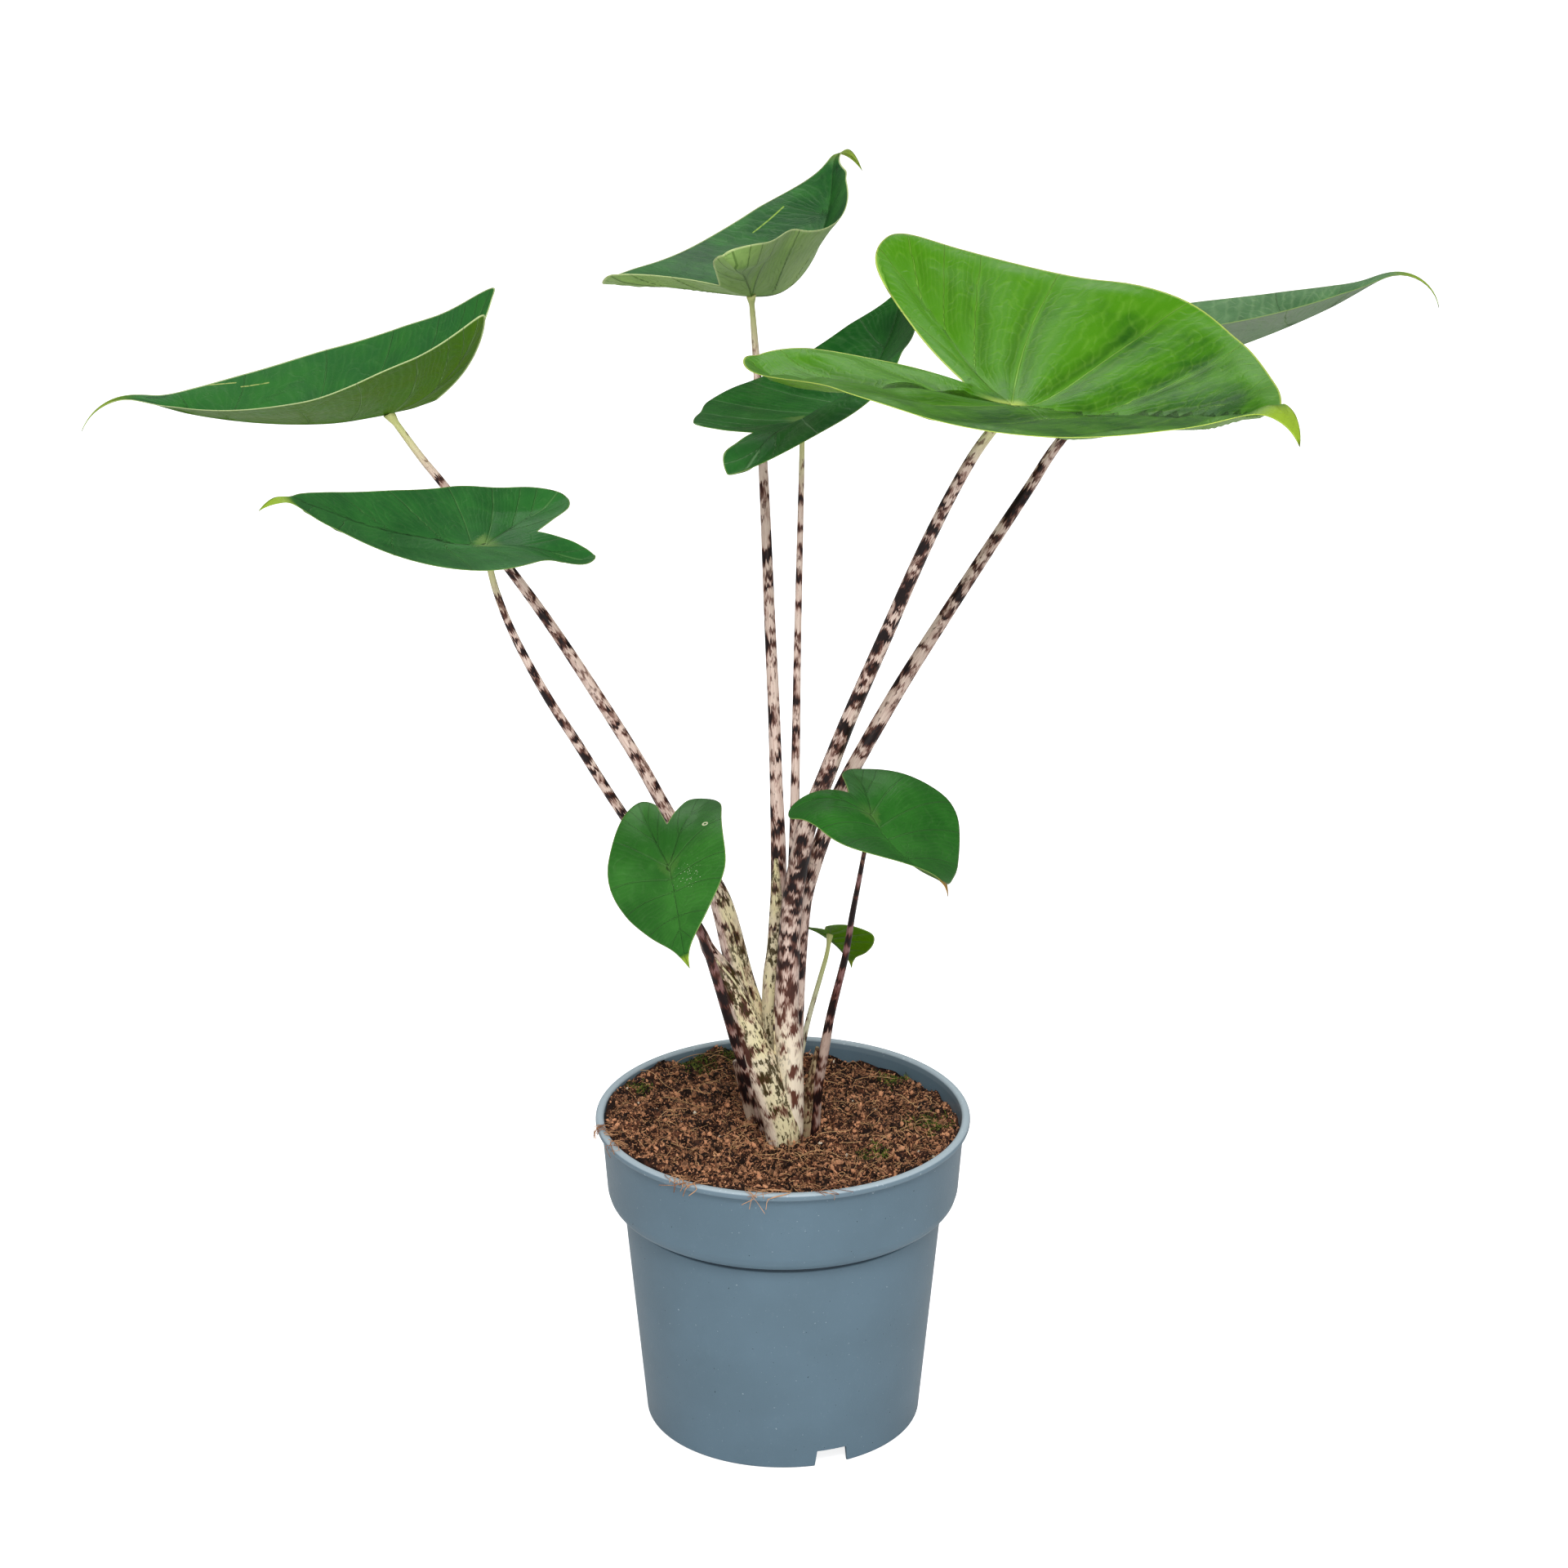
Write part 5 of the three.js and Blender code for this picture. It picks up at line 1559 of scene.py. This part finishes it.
    def leaves(self) -> list[Leaf]:
        """The nine blades."""
        return [
            Leaf("upper_left", stalk=(-171.5, 30, 469.5), heading=175, pitch=-11, roll=5, twist=-4,
                 length=113.5, drip_tip=30.5, sinus=22.5, belly=-0.32, lobe_bulge=0.23,
                 half_width=(53.5, 52.5), lobe_length=(74.5, 69), lobe_spread=(36.5, 42),
                 front_fold=(17, 24), back_fold=(31, 40), front_curl=(0.34, 0.47),
                 back_curl=(-0.14, -0.27), front_bend=-0.45, back_bend=-1.06, tip_bend=5.1,
                 lobe_lift=(0, 0), tip_girth=1.7,
                 finish=LeafFinish(upper=(42, 102, 46), under=(74, 112, 8), margin=(206, 222, 160),
                                   rim_width=0.9, rim_share=0.85, seed=1.0,
                                   scars=(Scar((97, -14), (73, -22)), Scar((70, -20), (58, -24))))),
            Leaf("lower_left", stalk=(-125, -55, 437), heading=220.5, pitch=4.5, roll=-16, twist=-7,
                 length=117, drip_tip=14.5, sinus=27, belly=0.37, lobe_bulge=0.5, half_width=(35, 33.5),
                 lobe_length=(42.5, 54), lobe_spread=(19.5, 19.5), front_fold=(13.5, 11.5),
                 back_fold=(24.5, 11.5), front_curl=(0.35, 0.71), back_curl=(-0.52, 0.92),
                 front_bend=-0.68, back_bend=-0.9, tip_bend=9.4, lobe_lift=(-0.38, -0.2),
                 midrib=((13, -3), (28, -8), (64, -11), (85, -10)), tip_girth=1.3,
                 finish=LeafFinish(upper=(32, 90, 38), mottle=(46, 112, 46), seed=2.0)),
            Leaf("top", stalk=(-14, 70, 511.5), heading=63.5, pitch=-14.5, roll=-21.5, twist=-2.5,
                 length=144, drip_tip=33, sinus=30, belly=0.5, lobe_bulge=(0.64, 0.46),
                 half_width=(71, 37), lobe_length=(52, 63.5), lobe_spread=(41.5, 27.5),
                 front_fold=(12.5, 33), back_fold=(27.5, 35.5), front_curl=(0.75, -0.14),
                 back_curl=(-0.59, 0.48), front_bend=-1.01, back_bend=-1.24, tip_bend=8.1,
                 lobe_lift=(-0.17, -0.38), tip_girth=1.6,
                 finish=LeafFinish(upper=(26, 78, 34), under=(158, 190, 110), rim_width=0.9,
                                   under_vein=(84, 118, 52), margin=(200, 216, 150), rim_share=0.9,
                                   feather_share=0.2, seed=3.0, scar=(150, 186, 74),
                                   scars=(Scar((97, 32.5), (117, 21.5), 0.6),))),
            Leaf("large_right", stalk=(93.5, -90, 508.5), heading=-49, pitch=-5, roll=-3.5, twist=6.5,
                 length=145.5, drip_tip=21.5, sinus=29, belly=-0.02, lobe_bulge=(0.33, 0.59),
                 half_width=(104.5, 100), lobe_length=(130.5, 98), lobe_spread=(42, 51.5),
                 front_fold=(-9, 4), back_fold=(7.5, 11.5), front_curl=(1.12, 0.46),
                 back_curl=(0.73, -0.09), front_bend=-0.61, back_bend=-0.27, tip_bend=10.3,
                 lobe_lift=(0.08, -0.26), midrib=((9, 15), (35, 40), (73, 45), (119, 29)), quilt=2.6,
                 crease=3.4, crease_width=16.0, crease_blend=0.35, tip_girth=2.6,
                 finish=LeafFinish(upper=(26, 84, 12), mottle=(74, 138, 10), under=(104, 150, 34),
                                   vein=(146, 198, 76), margin=(202, 220, 104), vein_share=0.75,
                                   feather_share=0.2, vein_side_shade=0.3, back_glow=0.26, rim_width=0.9,
                                   rim_share=0.8, roughness=0.34, star=0.75, right_shade=0.22, coat=0.12,
                                   seed=4.0),
                 lobe_ribs=(((-22, 8), (-43, 15), (-67, 23), (-86, 26)),
                            ((3, -24), (1, -36), (-7, -50), (-29, -57)))),
            Leaf("far_right", stalk=(149.5, 70, 475.5), heading=1, pitch=11.5, roll=-7.5, twist=4.5,
                 length=126, drip_tip=29.5, sinus=22, belly=-0.34, lobe_bulge=0.3, half_width=(48.5, 49),
                 lobe_length=(65, 65), lobe_spread=(35, 35), front_fold=(18.5, 21.5),
                 back_fold=(35.5, 35.5), front_curl=(0.44, 0.41), back_curl=(0.29, 0.29),
                 front_bend=-0.33, back_bend=0, tip_bend=7.3, lobe_lift=(0, 0), tip_girth=1.5,
                 finish=LeafFinish(upper=(64, 108, 62), mottle=(92, 138, 84), under=(120, 138, 112),
                                   vein=(164, 196, 142), feather_share=0.28, vein_share=0.3, seed=5.0)),
            Leaf("centre", stalk=(8.5, 10, 472), heading=49, pitch=-2, roll=-21.5, twist=-10, length=100,
                 drip_tip=9.5, sinus=32, belly=0.34, lobe_bulge=(0.65, 0.28), half_width=(53, 52.5),
                 lobe_length=(43, 61.5), lobe_spread=(20.5, 11), front_fold=(21.5, 18),
                 back_fold=(17, 14), front_curl=(0.17, -0.13), back_curl=(0.0, -1.06), front_bend=-0.98,
                 back_bend=-0.15, tip_bend=2.3, lobe_lift=(0.01, -0.28),
                 finish=LeafFinish(upper=(28, 88, 34), mottle=(46, 112, 44), vein=(126, 168, 118),
                                   vein_share=0.8)),
            Leaf("small_left", stalk=(-49, -62, 293.5), heading=-81, pitch=-36, roll=30.5, twist=14.5,
                 length=43.5, drip_tip=5, sinus=25, belly=-0.22, lobe_bulge=0.36, half_width=(26, 29),
                 lobe_length=(52, 45.5), lobe_spread=(14, 13), front_fold=(0.5, -2.5), back_fold=(-3, 3),
                 front_curl=(-0.5, -0.3), back_curl=(-0.07, 0.06), front_bend=0.21, back_bend=0.64,
                 tip_bend=5.8, lobe_lift=(-0.03, -0.01), detail=Detail.SMALL, tip_girth=1.8,
                 finish=LeafFinish(upper=(38, 96, 30), mottle=(56, 120, 42), coat=0.25, star=0.1,
                                   seed=7.0, vein_share=0.25, scar=(226, 224, 190), speckles=(7, 8, 11),
                                   scars=(Scar((-21, 17), (-21, 17), 0.5, 1.0),))),
            Leaf("small_right", stalk=(38, -62, 317.5), heading=-50.5, pitch=-34.5, roll=-15.5,
                 twist=-25.5, length=46.5, drip_tip=7.5, sinus=16, belly=0.3, lobe_bulge=0.48,
                 half_width=(51, 30.5), lobe_length=(35, 33), lobe_spread=(21, 21.5), front_fold=(5, 0.5),
                 back_fold=(11, 14.5), front_curl=(0.05, -0.58), back_curl=(-0.28, -1.44),
                 front_bend=-0.47, back_bend=1.12, tip_bend=6.6, lobe_lift=(-0.18, -0.07),
                 detail=Detail.SMALL, tip_girth=4.5,
                 finish=LeafFinish(upper=(32, 94, 26), mottle=(50, 118, 38), tip=(178, 128, 58),
                                   coat=0.12, vein_share=0.3, star=0.15, seed=8.0)),
            Leaf("tiny", stalk=(21.5, 35, 221.5), heading=56, pitch=-43, roll=-5, twist=17.5, length=24,
                 drip_tip=5.5, sinus=6, belly=-0.03, lobe_bulge=0.3, half_width=(22.5, 21),
                 lobe_length=(13.5, 18), lobe_spread=(7.5, 9), front_fold=(9, 10), back_fold=(3.5, 6.5),
                 front_curl=(0, 0), back_curl=(0, 0), front_bend=0.19, back_bend=0.84, tip_bend=2.2,
                 lobe_lift=(0, 0), detail=Detail.SMALL, tip_girth=4.5,
                 finish=LeafFinish(upper=(84, 130, 86), under=(82, 130, 8), mottle=(84, 140, 10),
                                   seed=9.0)),
        ]

    def stalks(self) -> list[Stalk]:
        """The stalks and sheaths, each with its finish and the part of it that is sheath."""
        blades = {leaf.name: leaf for leaf in self.leaves()}
        whole = (Zone(60, 400, 0, 180),)
        purple = StalkFinish(pale=(150, 112, 108), blush=(104, 66, 68), cover=0.66, band=0.16)
        looks = {
            "large_right": (StalkFinish(cover=0.57, foot_brown=0.8), (Zone(100, 200, -60, 60, 0.6),)),
            "top": (StalkFinish(seed=11.0), (Zone(100, 236, -60, 90, 0.9),)),
            "far_right": (StalkFinish(seed=13.0), (Zone(100, 180, 0, 180, 0.4),)),
            "centre": (StalkFinish(seed=15.0, band=0.14), ()),
            "upper_left": (StalkFinish(seed=17.0), (Zone(100, 262, 60, 75, 0.95),)),
            "small_left": (purple, ()),
            "lower_left": (StalkFinish(cover=0.56, foot_brown=0.5, seed=19.0), (Zone(100, 236, 55, 75),)),
            "small_right": (replace(purple, cover=0.68, seed=21.0), ()),
            "tiny": (StalkFinish(pale=(176, 178, 146), blush=(150, 150, 118), cover=0.2, seed=23.0), ()),
            "pointed_sheath": (StalkFinish(pale=(210, 204, 160), cover=0.35, seed=31.0), whole),
            "dry_sheath": (StalkFinish(pale=(150, 142, 104), sheath=(128, 112, 80),
                                       tender=(158, 138, 104), speckle=(64, 42, 22), seed=41.0), whole),
            "old_petiole_stub": (StalkFinish(pale=(170, 146, 128), sheath=(120, 116, 88), cover=0.6,
                                             seed=43.0), ()),
        }
        return [
            Stalk(name, self.ROUTES[name], finish, blades.get(name), self.MARGINS.get(name, ()),
                  sheath=zones, slot="dry_tissue" if name in self.DRY else "stalk_tissue")
            for name, (finish, zones) in looks.items()
        ]

    def build(self) -> None:
        """Builds and dresses every blade, stalk and sheath, and dresses the corm."""
        for leaf in self.leaves():
            settle(leaf.build(), "leaf_tissue", f"{leaf.name}_blade")
        for stalk in self.stalks():
            node = f"{stalk.name}_petiole" if stalk.blade else stalk.name
            settle(stalk.build(), stalk.slot, node)
            for strip in stalk.edges():
                settle(strip, stalk.slot)
        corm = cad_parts["corm_and_roots"]
        corm.data.materials.clear()
        corm.data.materials.append(CormFinish().make("corm_tissue"))


# Studio


@dataclass
class Studio:
    """Pale floor, pale even light and the camera at the photograph's angle.

    Places are in metres, and the tilt is in degrees from straight down. A light is its name, its
    place, how wide it is and its power.
    """

    aside: float = 0.0005
    distance: float = 1.9
    height: float = 1.045
    tilt: float = 68.8
    lens: float = 105.98
    shade: float = 0.2
    front: float = 0.26
    overhead: float = 0.24
    lights: tuple[tuple[str, Place, float, float], ...] = (
        ("key", (0.1, -1.6, 1.9), 0.9, 27.0), ("fill", (0.2, -1.9, 0.7), 0.8, 6.0),
        ("back", (0.0, 1.3, 1.7), 1.2, 9.0))
    aim: Place = (0.0, 0.0, 0.3)

    def build(self) -> None:
        """Makes the floor, the lights and the camera."""
        self.floor()
        self.world()
        for name, place, size, power in self.lights:
            self.light(name, place, size, power)
        view = bpy.context.scene.view_settings
        view.view_transform = "Standard"
        lens = bpy.data.cameras.new("camera")
        lens.lens, lens.sensor_width, lens.sensor_fit = self.lens, 36.0, "HORIZONTAL"
        camera = bpy.data.objects.new("camera", lens)
        camera.location = (self.aside, -self.distance, self.height)
        camera.rotation_euler = (math.radians(self.tilt), 0.0, 0.0)
        bpy.context.scene.collection.objects.link(camera)
        bpy.context.scene.camera = camera

    def floor(self) -> None:
        """A wide pale floor, just under the pot."""
        bpy.ops.mesh.primitive_plane_add(size=12.0, location=(0, 0, -0.0002))
        floor = bpy.context.object
        floor.name = "floor"
        m = Material("floor")
        seen = m.node("ShaderNodeLightPath", output="Is Camera Ray")
        glow = {"Emission Color": seen, "Emission Strength": 0.8}
        floor.data.materials.append(m.finish((0.85, 0.85, 0.85, 1), 0.9, fixed=glow))

    def world(self) -> None:
        """White light, most from the front and above, and a white background."""
        world = bpy.data.worlds.new("studio")
        bpy.context.scene.world = world
        world.use_nodes = True
        t = Tree(world.node_tree)
        seen = t.node("ShaderNodeLightPath", output="Is Camera Ray")
        _, away, up = t.node("ShaderNodeTexCoord", output="Generated").parts()
        light = away.step(0.2, -0.9) * self.front + up.step(-0.1, 0.9) * self.overhead + self.shade
        strength = seen.math("MAXIMUM", light)
        sky = t.node("ShaderNodeBackground", values={"Color": (1, 1, 1, 1), "Strength": strength})
        t.node("ShaderNodeOutputWorld", values={"Surface": sky})

    def light(self, name: str, place: Place, size: float, power: float) -> None:
        """A round soft light that looks at the middle of the plant."""
        lamp = bpy.data.lights.new(name, "AREA")
        lamp.shape, lamp.size, lamp.energy = "DISK", size, power
        made = bpy.data.objects.new(name, lamp)
        made.location = place
        made.rotation_euler = (Vector(self.aim) - Vector(place)).to_track_quat("-Z", "Y").to_euler()
        bpy.context.scene.collection.objects.link(made)


def main() -> None:
    """Builds each sub-assembly in turn, then notes the sizes."""
    logging.basicConfig(level=logging.INFO, format="%(message)s")
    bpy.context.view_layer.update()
    Studio().build()
    Pot().build()
    Soil().build()
    Plant().build()


if __name__ == "__main__":
    main()
